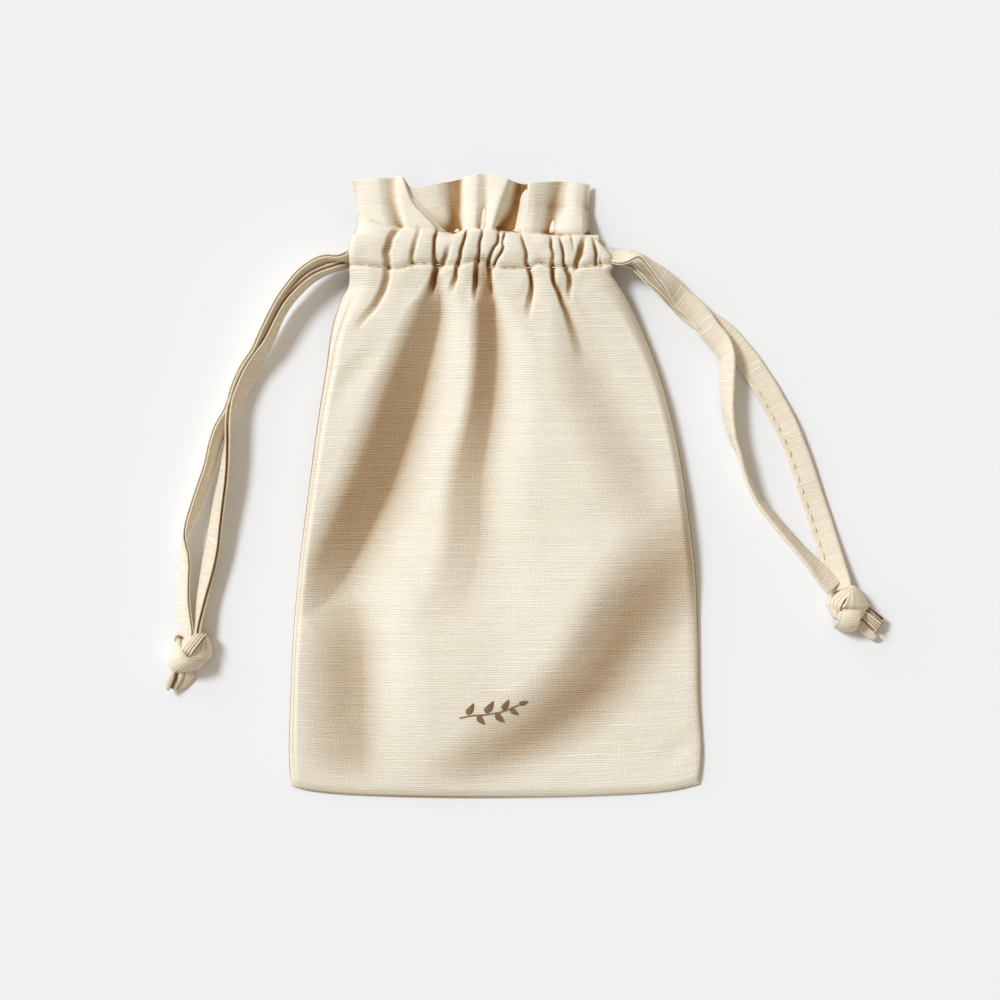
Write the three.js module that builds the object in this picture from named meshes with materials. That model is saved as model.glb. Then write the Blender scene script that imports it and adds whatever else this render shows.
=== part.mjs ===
// A small drawstring pouch of slub cotton cloth, lying flat with its mouth half gathered.
// Millimetres, +Z up. The back panel lies on z = 0 and the mouth points to +Y.
// Two flat tapes run through the casing below the ruffle, one knotted at each side.
import * as THREE from 'three';

// Cloth body
const pouchLength = 181;        // bottom seam to the top of the ruffle
const bodyWidth = 120;          // across the bottom
const gatheredWidth = 76;       // across the casing, as gathered
const mouthShift = -4.5;        // the gathered mouth lies left of the middle line
const ruffleWidth = 68;
const ruffleShift = -6.8;
const ruffleHeight = 15.6;      // above the upper stitch line
const flareLength = 110;        // below the casing, where the sides widen
const leftStraight = 0.75;      // share of the left side's widening that is straight
const leftCurve = 6;            // exponents of the curved widening: how near the casing it starts
const rightCurve = 2.15;
const cornerRise = 3.3;         // the bottom corners lie above the middle of the bottom seam
const clothThickness = 0.5;
const bodyDepth = 10;           // clear height inside the belly, between its folds
const bottomRound = 25;         // the belly falls to the bottom seam over this length
const bottomFullness = 4;       // exponents: how late the belly falls to the seams
const sideFullness = 8;
const seamRise = 1.8;           // the cloth climbs over the seam allowance within this width
const sideDrop = 0.5;           // share of the belly's height that is lost beside the edges
const sideDropWidth = 34;
const sideDropLength = 55;      // the drop builds up over this length
const leftDropStart = 43;       // below the casing
const rightDropStart = 4;
const shoulderLength = 35;      // the belly rises to the casing over this length
const sideSlit = 16;            // below the casing, where the side seam still stands open
const mouthGap = 5.2;           // clear height between the two facings

// The room inside, which the folds leave free: they are shallow above it, and deep beside it
const roomWidth = 68;
const roomBottom = 13;          // above the bottom seam
const roomFoldShare = 0.23;     // share of a fold's depth that is left above the room
const roomFade = 13;            // the folds deepen over this width beside the room

// Gathers and folds of the front panel
const pleatCount = 7;
const pleatDepth = 1.0;
const pleatFade = 22;           // the pleats die out below the casing over this length

// Each main fold has the places that the line of its bottom runs through, from the casing down:
// across the panel, from -1 at the left edge to 1 at the right, and up it, from 0 at the bottom seam
// to 1 at the lower stitch line. Then come the share of the belly's height that is lost there, and
// the widths of the fold's left and right wall. Beyond a step the cloth stays down.
const wallRound = 0.55;         // share of a wall that rounds off at its top
const mainFolds = [
  {
    step: false,
    places: [
      [-0.30, 1.00, 0.30, 6, 4], [-0.29, 0.92, 0.65, 11, 4], [-0.38, 0.81, 0.82, 17, 5.5],
      [-0.47, 0.70, 0.86, 17, 6.5], [-0.56, 0.58, 0.84, 18, 8], [-0.69, 0.47, 0.78, 15, 10],
      [-0.84, 0.37, 0.50, 10, 12], [-0.95, 0.35, 0.20, 8, 10],
    ],
  },
  {
    step: false,
    places: [
      [-0.76, 0.43, 0.10, 12, 7], [-0.66, 0.28, 0.60, 20, 6.5], [-0.64, 0.18, 0.60, 20, 6.5],
      [-0.65, -0.01, 0.40, 20, 8],
    ],
  },
  {
    step: false,
    places: [
      [0.02, 1.00, 0.30, 5, 4], [0.06, 0.92, 0.55, 9.5, 6], [0.02, 0.81, 0.58, 11, 9],
      [-0.05, 0.70, 0.56, 12, 9], [-0.09, 0.58, 0.50, 13, 11], [-0.10, 0.47, 0.40, 14, 13],
      [-0.20, 0.35, 0.15, 12, 13], [-0.32, 0.30, 0, 12, 12],
    ],
  },
  {
    step: true,
    places: [
      [0.52, 1.00, 0.05, 4, 3], [0.58, 0.92, 0.20, 8, 3], [0.58, 0.81, 0.40, 13, 4],
      [0.65, 0.70, 0.38, 15, 6], [0.75, 0.58, 0.15, 15, 8], [0.82, 0.48, 0, 12, 8],
    ],
  },
  {
    step: true,
    places: [
      [1.21, 0.56, 0.60, 14, 16], [0.88, 0.48, 0.80, 16, 15], [0.56, 0.35, 0.94, 15, 13],
      [0.41, 0.24, 0.94, 15, 11], [0.13, 0.13, 0.94, 13, 10], [-0.27, -0.01, 0.90, 12, 9],
    ],
  },
];

// Casing, tapes and thread
const tapeWidth = 7;
const tapeThickness = 0.9;
const tapeFoldEase = 0.2;       // inside the casing a tape lies folded lengthwise
const tapeClearance = 0.4;      // between the two tapes, and between tape and stitches
const stitchSlope = 1.5;        // the layers close up over this length beyond the casing
const facingInset = 3;          // the facing stops short of the casing's open ends
const bendLeg = 4;              // each leg of a far bend, inside the casing
const exitStub = 3;             // straight tape that shows outside the casing
const strandLead = 2;           // the free stretch starts straight
const threadDiameter = 0.5;
const stitchOffset = 0.6;       // casing stitches lie this far beyond the slope
const facingHem = 1.6;          // the facing ends this far below the lower stitch line
const seamInset = 1.6;          // seam stitches, in from the edge
const allowanceInset = 2.6;
const allowanceWidth = 7;
const cornerClearance = 14;     // the seam pieces stop this far from the bottom corners

// Knots and tails
const knotSize = { x: 12.8, y: 12.4, z: 8.6 };
const tailLength = 5.5;
const tailDiameter = 2.4;

// Clearance between touching pieces
const gap = 0.3;

// Facets
const frontColumns = 34;
const frontRows = 24;
const backColumns = 14;
const backRows = 14;
const columnCrowding = 0.5;     // how much the columns close up towards the side seams
const rowCrowding = 1.35;       // exponent: how much the rows close up towards the bottom seam
const turnSteps = 4;            // round the fold at the top of the ruffle
const sideSteps = 14;
const bottomSteps = 8;
const seamThreadSteps = 20;
const threadSides = 6;
const strandSides = 8;
const knotSegments = [16, 10];

// Sizes that follow from the tape
const tapeFoldedWidth = (tapeWidth + tapeFoldEase) / 2;
const tapeFoldedDepth = 2 * tapeThickness + tapeFoldEase;
const casingHeight = 2 * tapeFoldedWidth + 3 * tapeClearance;
const strandDiameter = 2 * Math.sqrt(tapeWidth * tapeThickness / Math.PI);

// Levels, from the floor up
const half = clothThickness / 2;
const channelDepth = tapeFoldedDepth + 2 * gap;
const layerStep = clothThickness + gap;
const mouthFloor = 2 * clothThickness + channelDepth;
const mouthCeiling = mouthFloor + mouthGap;
const backFacingChannel = clothThickness + channelDepth + half;
const frontFacingChannel = mouthCeiling + half;
const frontOuterChannel = frontFacingChannel + channelDepth + clothThickness;
const frontMiddle = (frontFacingChannel + frontOuterChannel) / 2;
const frontOuterClosed = frontMiddle + layerStep / 2;
const seamLevel = clothThickness + gap + half;
const bellyLevel = clothThickness + bodyDepth + half;
const allowanceTop = clothThickness + gap + 2 * clothThickness;
const lowLevel = allowanceTop + gap + half;
const backTapeLevel = clothThickness + gap + tapeFoldedDepth / 2;
const frontTapeLevel = frontFacingChannel + half + gap + tapeFoldedDepth / 2;

// Lines across the pouch
const topEdge = pouchLength / 2;
const bottomEdge = -pouchLength / 2;
const upperStitch = topEdge - ruffleHeight;
const casingTop = upperStitch - stitchSlope;
const casingBottom = casingTop - casingHeight;
const lowerStitch = casingBottom - stitchSlope;
const casingLeft = mouthShift - gatheredWidth / 2;
const casingRight = mouthShift + gatheredWidth / 2;

const clothColour = 0xe3d8c6;
const tapeColour = 0xd9c8ad;
const threadColour = 0xe9e0cf;

const pouch = new THREE.Group();

function clamp01(value) {
  return Math.min(1, Math.max(0, value));
}

function smooth(value) {
  const t = clamp01(value);
  return t * t * (3 - 2 * t);
}

function mix(a, b, t) {
  return a + (b - a) * t;
}

function addPiece(name, geometry, colour, roughness = 0.95) {
  const material = new THREE.MeshStandardMaterial({ color: colour, roughness, metalness: 0 });
  const mesh = new THREE.Mesh(geometry, material);
  mesh.name = name;
  pouch.add(mesh);
  return mesh;
}

// Side edges of the outer cloth at a height y
function leftEdge(y) {
  const t = clamp01((y - casingBottom) / flareLength + 1);
  const body = mix(-bodyWidth / 2, casingLeft, leftStraight * t + (1 - leftStraight) * t ** leftCurve);
  const ruffle = ruffleShift - ruffleWidth / 2;
  return mix(body, ruffle, smooth((y - casingTop) / (upperStitch - casingTop)));
}

function rightEdge(y) {
  const t = clamp01((y - casingBottom) / flareLength + 1);
  const body = mix(bodyWidth / 2, casingRight, t ** rightCurve);
  const ruffle = ruffleShift + ruffleWidth / 2;
  return mix(body, ruffle, smooth((y - casingTop) / (upperStitch - casingTop)));
}

// The bottom seam sags in the middle; u runs from -1 at the left edge to 1 at the right
function bottomSeam(u) {
  return bottomEdge + cornerRise * u * u;
}

function acrossAt(y, u, inset) {
  const left = leftEdge(y) + inset;
  const right = rightEdge(y) - inset;
  return mix(left, right, (u + 1) / 2);
}

// From 0 to 1 and back once in each turn
function wave(turns) {
  return 0.5 + 0.5 * Math.cos(2 * Math.PI * turns);
}

function pleat(u, y) {
  const fade = smooth((y - lowerStitch) / pleatFade + 1);
  return pleatDepth * wave(pleatCount * u / 2) * fade;
}

// The share of the belly's height that one fold takes away at a place
function foldShare(fold, x, y) {
  const places = fold.places.map(([u, v, ...sizes]) => {
    const placeY = mix(bottomEdge, lowerStitch, v);
    return [acrossAt(placeY, u, 0), placeY, ...sizes];
  });
  let nearest = Infinity;
  let lost = 0;
  for (let k = 0; k + 1 < places.length; k += 1) {
    const [startX, startY] = places[k];
    const alongX = places[k + 1][0] - startX;
    const alongY = places[k + 1][1] - startY;
    const length = Math.hypot(alongX, alongY);
    const t = clamp01(((x - startX) * alongX + (y - startY) * alongY) / length ** 2);
    const away = Math.hypot(x - startX - t * alongX, y - startY - t * alongY);
    if (away < nearest) {
      nearest = away;
      const [share, left, right] = [2, 3, 4].map((i) => mix(places[k][i], places[k + 1][i], t));
      const onRight = alongX * (y - startY) - alongY * (x - startX) > 0;
      const across = Math.min(1, away / (onRight ? right : left));
      const wall = mix((1 - across) ** 2, wave(across / 2), wallRound);
      lost = share * (fold.step ? smooth(((onRight ? away : -away) + left) / (left + right)) : wall);
    }
  }
  return lost;
}

// The share of the belly's height that is lost beside an edge, below the place where the drop starts
function edgeShare(distance, y, start) {
  const built = smooth((casingBottom - start - y) / sideDropLength);
  return sideDrop * built * (1 - smooth(distance / sideDropWidth));
}

// How much of a fold's depth is left at a place
function foldStrength(x, y) {
  const beside = Math.max(0, Math.abs(x) - roomWidth / 2);
  const below = Math.max(0, bottomEdge + roomBottom - y);
  return mix(roomFoldShare, 1, smooth(Math.hypot(beside, below) / roomFade));
}

// Middle surface of the front panel below the casing
function bellyHeight(u, y) {
  const x = acrossAt(y, u, 0);
  const leftGap = x - leftEdge(y);
  const rightGap = rightEdge(y) - x;
  const bottomGap = y - bottomSeam(u);
  const open = smooth((lowerStitch - y) / sideSlit);
  const edge = mix(frontOuterClosed, seamLevel, open);
  const low = mix(frontOuterClosed, lowLevel, open);
  const crown = mix(frontOuterClosed, bellyLevel, smooth((lowerStitch - y) / shoulderLength));
  const side = 1 - Math.abs(u) ** sideFullness;
  const bottom = 1 - clamp01(1 - bottomGap / bottomRound) ** bottomFullness;
  const lost = mainFolds.map((fold) => foldShare(fold, x, y));
  lost.push(edgeShare(leftGap, y, leftDropStart), edgeShare(rightGap, y, rightDropStart));
  const strength = foldStrength(x, y);
  const rise = lost.reduce((rest, share) => rest * (1 - share * strength), side * bottom);
  const climb = smooth(Math.min(leftGap, rightGap, bottomGap) / seamRise);
  return mix(edge, low, climb) + (crown - low) * rise + pleat(u, y) * climb;
}

// A closed sheet: rows of points on the middle surface, thickened half to each side
function sheetGeometry(rows) {
  const rowCount = rows.length;
  const columnCount = rows[0].length;
  const upper = [];
  const lower = [];
  for (let i = 0; i < rowCount; i += 1) {
    for (let j = 0; j < columnCount; j += 1) {
      const point = rows[i][j];
      const along = rows[i][Math.min(j + 1, columnCount - 1)].clone()
        .sub(rows[i][Math.max(j - 1, 0)]);
      const up = rows[Math.min(i + 1, rowCount - 1)][j].clone()
        .sub(rows[Math.max(i - 1, 0)][j]);
      const normal = along.cross(up).normalize().multiplyScalar(half);
      upper.push(point.clone().add(normal));
      lower.push(point.clone().sub(normal));
    }
  }
  const size = upper.length;
  const faces = [];
  const at = (i, j) => i * columnCount + j;
  const quad = (a, b, c, d) => faces.push(a, b, c, a, c, d);
  for (let i = 0; i + 1 < rowCount; i += 1) {
    for (let j = 0; j + 1 < columnCount; j += 1) {
      quad(at(i, j), at(i, j + 1), at(i + 1, j + 1), at(i + 1, j));
      quad(size + at(i, j), size + at(i + 1, j), size + at(i + 1, j + 1), size + at(i, j + 1));
    }
    const last = columnCount - 1;
    quad(at(i, 0), at(i + 1, 0), size + at(i + 1, 0), size + at(i, 0));
    quad(at(i, last), size + at(i, last), size + at(i + 1, last), at(i + 1, last));
  }
  for (let j = 0; j + 1 < columnCount; j += 1) {
    const last = rowCount - 1;
    quad(at(0, j), size + at(0, j), size + at(0, j + 1), at(0, j + 1));
    quad(at(last, j), at(last, j + 1), size + at(last, j + 1), size + at(last, j));
  }
  const geometry = new THREE.BufferGeometry().setFromPoints([...upper, ...lower]);
  geometry.setIndex(faces);
  geometry.computeVertexNormals();
  return geometry;
}

// Columns close up towards the side seams, where the belly falls
function columnPlaces(count) {
  const places = [];
  for (let j = 0; j <= count; j += 1) {
    const s = 2 * j / count - 1;
    places.push(mix(s, Math.sin(s * Math.PI / 2), columnCrowding));
  }
  return places;
}

// Rows of one panel: the body, the casing, the ruffle, the fold at its top and the facing
// inside. levels gives the middle surface of the outer layer, and direction is where
// the facing lies: -1 below it, 1 above it.
function panelRows(columnCount, bodyRows, outerLevel, facingLevel, direction) {
  const columns = columnPlaces(columnCount);
  const rows = [];
  const addRow = (yAt, inset, levelAt) => {
    rows.push(columns.map((u) => {
      const y = yAt(u);
      return new THREE.Vector3(acrossAt(y, u, inset), y, levelAt(u, y));
    }));
  };
  for (let i = 0; i <= bodyRows; i += 1) {
    const t = (i / bodyRows) ** rowCrowding;
    addRow((u) => mix(bottomSeam(u), lowerStitch, t), 0, outerLevel);
  }
  const foldRadius = layerStep / 2;
  const foldStart = topEdge - foldRadius - half;
  const lines = [casingBottom, casingTop, upperStitch, mix(upperStitch, foldStart, 0.5), foldStart];
  lines.forEach((line) => addRow(() => line, 0, outerLevel));
  for (let k = 1; k <= turnSteps; k += 1) {
    const angle = Math.PI * k / turnSteps;
    const drop = direction * foldRadius * (1 - Math.cos(angle));
    const level = (u) => outerLevel(u, foldStart) + drop;
    addRow(() => foldStart + foldRadius * Math.sin(angle), 0, level);
  }
  const facingLines = [mix(upperStitch, foldStart, 0.5), upperStitch, casingTop, casingBottom];
  facingLines.forEach((line) => {
    const inset = facingInset * smooth((foldStart - line) / (foldStart - casingTop));
    addRow(() => line, inset, facingLevel);
  });
  addRow(() => lowerStitch, facingInset, facingLevel);
  addRow(() => lowerStitch - facingHem, facingInset, facingLevel);
  return rows;
}

function inChannel(y) {
  return y > casingBottom - 0.01 && y < casingTop + 0.01;
}

function frontOuter(u, y) {
  if (y < lowerStitch + 0.01) {
    return bellyHeight(u, Math.min(y, lowerStitch));
  }
  return (inChannel(y) ? frontOuterChannel : frontOuterClosed) + pleat(u, y);
}

function frontFacing(u, y) {
  if (inChannel(y)) {
    return frontFacingChannel;
  }
  const pleated = smooth((y - casingTop) / (topEdge - casingTop));
  return frontOuterClosed - layerStep + pleat(u, y) * pleated;
}

function backOuter() {
  return half;
}

function backFacing(u, y) {
  return inChannel(y) ? backFacingChannel : half + layerStep;
}

function addPanels() {
  const front = panelRows(frontColumns, frontRows, frontOuter, frontFacing, -1);
  addPiece('front_panel', sheetGeometry(front), clothColour);
  const back = panelRows(backColumns, backRows, backOuter, backFacing, 1);
  addPiece('back_panel', sheetGeometry(back), clothColour);
}

// A round bar along a curve, closed at both ends
function tubeGeometry(points, diameter, steps, sides) {
  const section = new THREE.Shape();
  for (let k = 0; k < sides; k += 1) {
    const angle = 2 * Math.PI * k / sides;
    const x = diameter / 2 * Math.cos(angle);
    const y = diameter / 2 * Math.sin(angle);
    if (k === 0) {
      section.moveTo(x, y);
    } else {
      section.lineTo(x, y);
    }
  }
  section.closePath();
  const path = new THREE.CatmullRomCurve3(points, false, 'centripetal');
  return new THREE.ExtrudeGeometry(section, { steps, extrudePath: path, bevelEnabled: false });
}

// One row of stitches across a casing, laid on the cloth's inner or outer face
function addCasingThread(name, line, levelAt, inset) {
  const points = [];
  const pointCount = 4 * pleatCount;
  for (let k = 0; k <= pointCount; k += 1) {
    const u = 2 * k / pointCount - 1;
    const level = levelAt(u, line) + half + gap + threadDiameter / 2;
    points.push(new THREE.Vector3(acrossAt(line, u, inset), line, level));
  }
  addPiece(name, tubeGeometry(points, threadDiameter, pointCount, threadSides), threadColour);
}

function addCasingThreads() {
  const upper = upperStitch + stitchOffset;
  const lower = lowerStitch - stitchOffset;
  const inset = 2 * threadDiameter;
  addCasingThread('front_upper_casing_thread', upper, frontOuter, inset);
  addCasingThread('front_lower_casing_thread', lower, frontOuter, inset);
  const inner = facingInset + inset;
  addCasingThread('back_upper_casing_thread', upper, backFacing, inner);
  addCasingThread('back_lower_casing_thread', lower, backFacing, inner);
}

// Points along a side seam, a given distance in from the edge
function sideLine(side, inset, lowest, highest, count) {
  const edge = side < 0 ? leftEdge : rightEdge;
  const points = [];
  for (let k = 0; k <= count; k += 1) {
    const y = mix(lowest, highest, k / count);
    points.push(new THREE.Vector2(edge(y) - side * inset, y));
  }
  return points;
}

function bottomLine(inset, reach, count) {
  const points = [];
  for (let k = 0; k <= count; k += 1) {
    const x = mix(-reach, reach, k / count);
    points.push(new THREE.Vector2(x, bottomSeam(2 * x / bodyWidth) + inset));
  }
  return points;
}

// Turned-in edges of both panels, overlocked together and lying on the back panel
function addAllowance(name, outerLine, innerLine) {
  const outline = new THREE.Shape([...outerLine, ...innerLine.reverse()]);
  const depth = 2 * clothThickness;
  const strip = new THREE.ExtrudeGeometry(outline, { depth, bevelEnabled: false });
  addPiece(name, strip, clothColour).position.z = clothThickness + gap;
}

function addSeamThread(name, line) {
  const level = clothThickness + gap + threadDiameter / 2;
  const points = line.map((point) => new THREE.Vector3(point.x, point.y, level));
  addPiece(name, tubeGeometry(points, threadDiameter, seamThreadSteps, threadSides), threadColour);
}

function addSeams() {
  const lowest = bottomEdge + cornerClearance;
  const highest = lowerStitch - sideSlit;
  const innerInset = allowanceInset + allowanceWidth;
  for (const [name, side] of [['left', -1], ['right', 1]]) {
    const outer = sideLine(side, allowanceInset, lowest, highest, sideSteps);
    const inner = sideLine(side, innerInset, lowest, highest, sideSteps);
    addAllowance(`${name}_seam_allowance`, outer, inner);
    addSeamThread(`${name}_seam_thread`, sideLine(side, seamInset, lowest, highest, sideSteps));
  }
  const reach = bodyWidth / 2 - cornerClearance;
  const outer = bottomLine(allowanceInset, reach, bottomSteps);
  const inner = bottomLine(innerInset, reach, bottomSteps);
  addAllowance('bottom_seam_allowance', outer, inner);
  addSeamThread('bottom_seam_thread', bottomLine(seamInset, reach, bottomSteps));
}

// Each tape has its own half of the casing's height
const casingMiddle = (casingTop + casingBottom) / 2;
const tapeOffset = (tapeFoldedWidth + tapeClearance) / 2;
const leftTapeLine = casingMiddle - tapeOffset;
const rightTapeLine = casingMiddle + tapeOffset;

// The far bend joins a tape's front and back stretches just inside the casing's other end
function addFarBend(name, side, line) {
  const end = side < 0 ? casingLeft : casingRight;
  const outerX = end - side * gap;
  const innerX = outerX - side * tapeFoldedDepth;
  const legX = innerX - side * bendLeg;
  const low = backTapeLevel - tapeFoldedDepth / 2;
  const high = frontTapeLevel + tapeFoldedDepth / 2;
  const profile = [
    [outerX, low], [legX, low], [legX, low + tapeFoldedDepth], [innerX, low + tapeFoldedDepth],
    [innerX, high - tapeFoldedDepth], [legX, high - tapeFoldedDepth], [legX, high], [outerX, high],
  ];
  const outline = new THREE.Shape(profile.map(([x, z]) => new THREE.Vector2(x, z)));
  const options = { depth: tapeFoldedWidth, bevelEnabled: false };
  const bend = addPiece(name, new THREE.ExtrudeGeometry(outline, options), tapeColour);
  bend.rotation.x = Math.PI / 2;
  bend.position.y = line + tapeFoldedWidth / 2;
  return legX;
}

function addStretch(name, line, level, start, end) {
  const length = Math.abs(end - start);
  const box = new THREE.BoxGeometry(length, tapeFoldedWidth, tapeFoldedDepth);
  addPiece(name, box, tapeColour).position.set((start + end) / 2, line, level);
}

// A knot and a point on its skin in a direction given by its turn and its rise
function knotPoint(centre, turn, rise, clearance) {
  const direction = new THREE.Vector3(
    Math.cos(turn) * Math.cos(rise), Math.sin(turn) * Math.cos(rise), Math.sin(rise),
  );
  const scaled = direction.clone();
  scaled.x /= knotSize.x / 2;
  scaled.y /= knotSize.y / 2;
  scaled.z /= knotSize.z / 2;
  const reach = 1 / scaled.length() + clearance;
  return centre.clone().add(direction.multiplyScalar(reach));
}

function addKnot(name, centre) {
  const ball = new THREE.SphereGeometry(0.5, ...knotSegments);
  ball.scale(knotSize.x, knotSize.y, knotSize.z);
  addPiece(name, ball, tapeColour).position.copy(centre);
}

function addTail(name, centre, turn, rise) {
  const start = knotPoint(centre, turn, rise, gap);
  const end = knotPoint(centre, turn, rise, gap + tailLength);
  addPiece(name, tubeGeometry([start, end], tailDiameter, 2, strandSides), tapeColour);
}

// Free stretches lie on the floor from the casing to the knot: places by hand, then the knot
const onFloor = strandDiameter / 2 + gap / 3;
const degrees = Math.PI / 180;
const drawstrings = {
  left: {
    side: -1,
    line: leftTapeLine,
    knot: [-88.8, -49.1],
    front: {
      turn: 62,
      points: [
        [-51, 64.4, 10.3], [-54.8, 60, 10], [-58.6, 55.6, 9.4], [-63.3, 48.8, 8.4], [-68.3, 41.2, 7.2],
        [-72.1, 33.6, 6], [-75.3, 26, 4.8], [-77.4, 18.1, 3.6], [-78.6, 8, 2.4], [-80.3, -5.3, onFloor],
        [-83.2, -20.5, onFloor], [-85.2, -31, onFloor],
      ],
    },
    back: {
      turn: 112,
      points: [
        [-51.6, 66.6, 3], [-56.2, 63.6, 4.4], [-61, 58.4, 5.2], [-66.6, 50.4, 5.2], [-71.4, 42, 4.6],
        [-76.6, 32, 3.4], [-80.2, 22, 2.4], [-83, 10.5, onFloor], [-85.6, -1, onFloor],
        [-89.2, -12, onFloor], [-90.3, -24, onFloor], [-91, -34, onFloor],
      ],
    },
    tails: [[-86, 0], [-128, 0]],
  },
  right: {
    side: 1,
    line: rightTapeLine,
    knot: [103.1, -35.4],
    front: {
      turn: 146,
      points: [
        [42, 68.8, 10], [45.4, 65, 9.2], [49.3, 60.2, 8], [54.8, 53.6, 6.9], [61.3, 46.5, 5],
        [65.6, 40.4, 3], [67.2, 33.6, onFloor], [67.7, 22, onFloor], [69.6, 10.8, onFloor],
        [74.1, -0.3, onFloor], [79.7, -8.8, onFloor], [86.4, -17.6, onFloor],
      ],
    },
    back: {
      turn: 104,
      points: [
        [42, 67.4, 2], [45.6, 61.4, 2], [49.8, 56.2, onFloor], [56.9, 50.4, onFloor], [65, 45.6, onFloor],
        [72, 38.6, onFloor], [78.2, 29.2, onFloor], [84.4, 17.8, onFloor], [89.9, 4.7, onFloor],
        [94.6, -8.5, onFloor], [98.6, -20, onFloor],
      ],
    },
    tails: [[-18, 0], [-56, 0]],
  },
};

function addStrand(name, string, strand, level, centre) {
  const exit = string.side < 0 ? casingLeft : casingRight;
  const start = new THREE.Vector3(exit + string.side * (exitStub + gap), string.line, level);
  const middle = strand.points.map(([x, y, z]) => new THREE.Vector3(x, y, z));
  const end = knotPoint(centre, strand.turn * degrees, 0, gap);
  end.z = onFloor;
  const lead = start.clone().setX(start.x + string.side * strandLead);
  const points = [start, lead, ...middle, end];
  const path = new THREE.CatmullRomCurve3(points, false, 'centripetal');
  const steps = Math.round(path.getLength() / (1.6 * strandDiameter));
  addPiece(name, tubeGeometry(points, strandDiameter, steps, strandSides), tapeColour);
}

function addDrawstring(name, string) {
  const bendX = addFarBend(`${name}_drawstring_far_bend`, -string.side, string.line);
  const start = bendX + string.side * gap;
  const exit = string.side < 0 ? casingLeft : casingRight;
  const end = exit + string.side * exitStub;
  const centre = new THREE.Vector3(...string.knot, knotSize.z / 2 + gap / 3);
  const levels = { front: frontTapeLevel, back: backTapeLevel };
  for (const layer of ['front', 'back']) {
    const level = levels[layer];
    addStretch(`${name}_${layer}_casing_tape`, string.line, level, start, end);
    addStrand(`${name}_${layer}_strand`, string, string[layer], level, centre);
  }
  addKnot(`${name}_knot`, centre);
  string.tails.forEach(([turn, rise], index) => {
    addTail(`${name}_tail_${index + 1}`, centre, turn * degrees, rise * degrees);
  });
}

addPanels();
addCasingThreads();
addSeams();
Object.entries(drawstrings).forEach(([name, string]) => addDrawstring(name, string));

export default pouch;
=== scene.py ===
import math

import bmesh
import bpy
import numpy as np
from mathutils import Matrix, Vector


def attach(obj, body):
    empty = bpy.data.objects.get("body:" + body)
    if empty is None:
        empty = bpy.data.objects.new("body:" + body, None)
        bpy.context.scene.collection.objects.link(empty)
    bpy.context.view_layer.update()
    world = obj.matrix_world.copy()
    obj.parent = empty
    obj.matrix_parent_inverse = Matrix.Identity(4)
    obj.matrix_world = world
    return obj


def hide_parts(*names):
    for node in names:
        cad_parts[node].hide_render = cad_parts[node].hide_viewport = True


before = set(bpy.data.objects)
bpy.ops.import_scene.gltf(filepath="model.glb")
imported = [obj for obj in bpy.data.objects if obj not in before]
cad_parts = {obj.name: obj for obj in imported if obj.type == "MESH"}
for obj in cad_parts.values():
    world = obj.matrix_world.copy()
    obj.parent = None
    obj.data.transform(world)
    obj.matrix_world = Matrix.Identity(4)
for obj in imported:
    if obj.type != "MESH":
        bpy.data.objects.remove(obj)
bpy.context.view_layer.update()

# A drawstring pouch of slub cotton, lying flat. Lengths are in mm up to the last step,
# where each mesh is put into metres. Places seen in the photograph are in its pixels.
photo = {"pixelMm": 0.2925, "originX": 495.5, "originY": 487.0, "size": 1000}
toMetres = 0.001


def fromPhoto(x, y):
    return (x - photo["originX"]) * photo["pixelMm"], (photo["originY"] - y) * photo["pixelMm"]


def raised(points):
    # Points of the photograph, each with its height in mm, as places in mm
    p = np.asarray(points, float)
    return np.column_stack([*fromPhoto(p[:, 0], p[:, 1]), p[:, 2]])


def smoothLine(points, steps=10):
    # Catmull-Rom through the points, each of any count of numbers
    p = np.asarray(points, float)
    p = np.vstack([2 * p[0] - p[1], p, 2 * p[-1] - p[-2]])
    t = np.linspace(0, 1, steps, endpoint=False)[:, None]
    parts = []
    for a, b, c, d in zip(p[:-3], p[1:-2], p[2:-1], p[3:]):
        bend = 2 * a - 5 * b + 4 * c - d
        parts.append(0.5 * (2 * b + (c - a) * t + bend * t ** 2 + (3 * b - a - 3 * c + d) * t ** 3))
    return np.vstack(parts + [p[-2:-1]])


def smoothStep(t):
    t = np.clip(t, 0, 1)
    return t * t * (3 - 2 * t)


def distances(line):
    # How far along a line of points each one lies
    return np.concatenate([[0], np.cumsum(np.linalg.norm(np.diff(line, axis=0), axis=1))])


def unit(vectors):
    return vectors / np.maximum(np.linalg.norm(vectors, axis=-1, keepdims=True), 1e-9)


def valueOn(points, at):
    # A smooth curve through (place, value) points, read at many places
    line = smoothLine(sorted(points))
    return np.interp(at, np.maximum.accumulate(line[:, 0]), line[:, 1])


def shapeNoise(x, y, cell, seed):
    # Soft undulation from -1 to 1 with cells of the given size
    rng = np.random.default_rng(seed)
    table = rng.uniform(-1, 1, (64, 64))
    gx, gy = x / cell + 17.3, y / cell + 23.1
    ix, iy = np.floor(gx).astype(int), np.floor(gy).astype(int)
    fx, fy = smoothStep(gx - ix), smoothStep(gy - iy)
    top = table[iy % 64, ix % 64] * (1 - fx) + table[iy % 64, (ix + 1) % 64] * fx
    low = table[(iy + 1) % 64, ix % 64] * (1 - fx) + table[(iy + 1) % 64, (ix + 1) % 64] * fx
    return top * (1 - fy) + low * fy


# Camera, floor and light
camera = {"lensMm": 100.0, "sensorMm": 36.0}
light = {"azimuth": 146.0, "floor": "f1f1f1",
         "window": {"share": 0.53, "elevation": 46.0, "angle": 14.0, "tint": (0.923, 1.0, 1.106)},
         "glow": {"share": 0.08, "elevation": 26.0, "angle": 60.0, "tint": (0.923, 1.0, 1.106)},
         "room": {"share": 0.39, "tint": (1.12, 1.0, 0.835)}}


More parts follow.
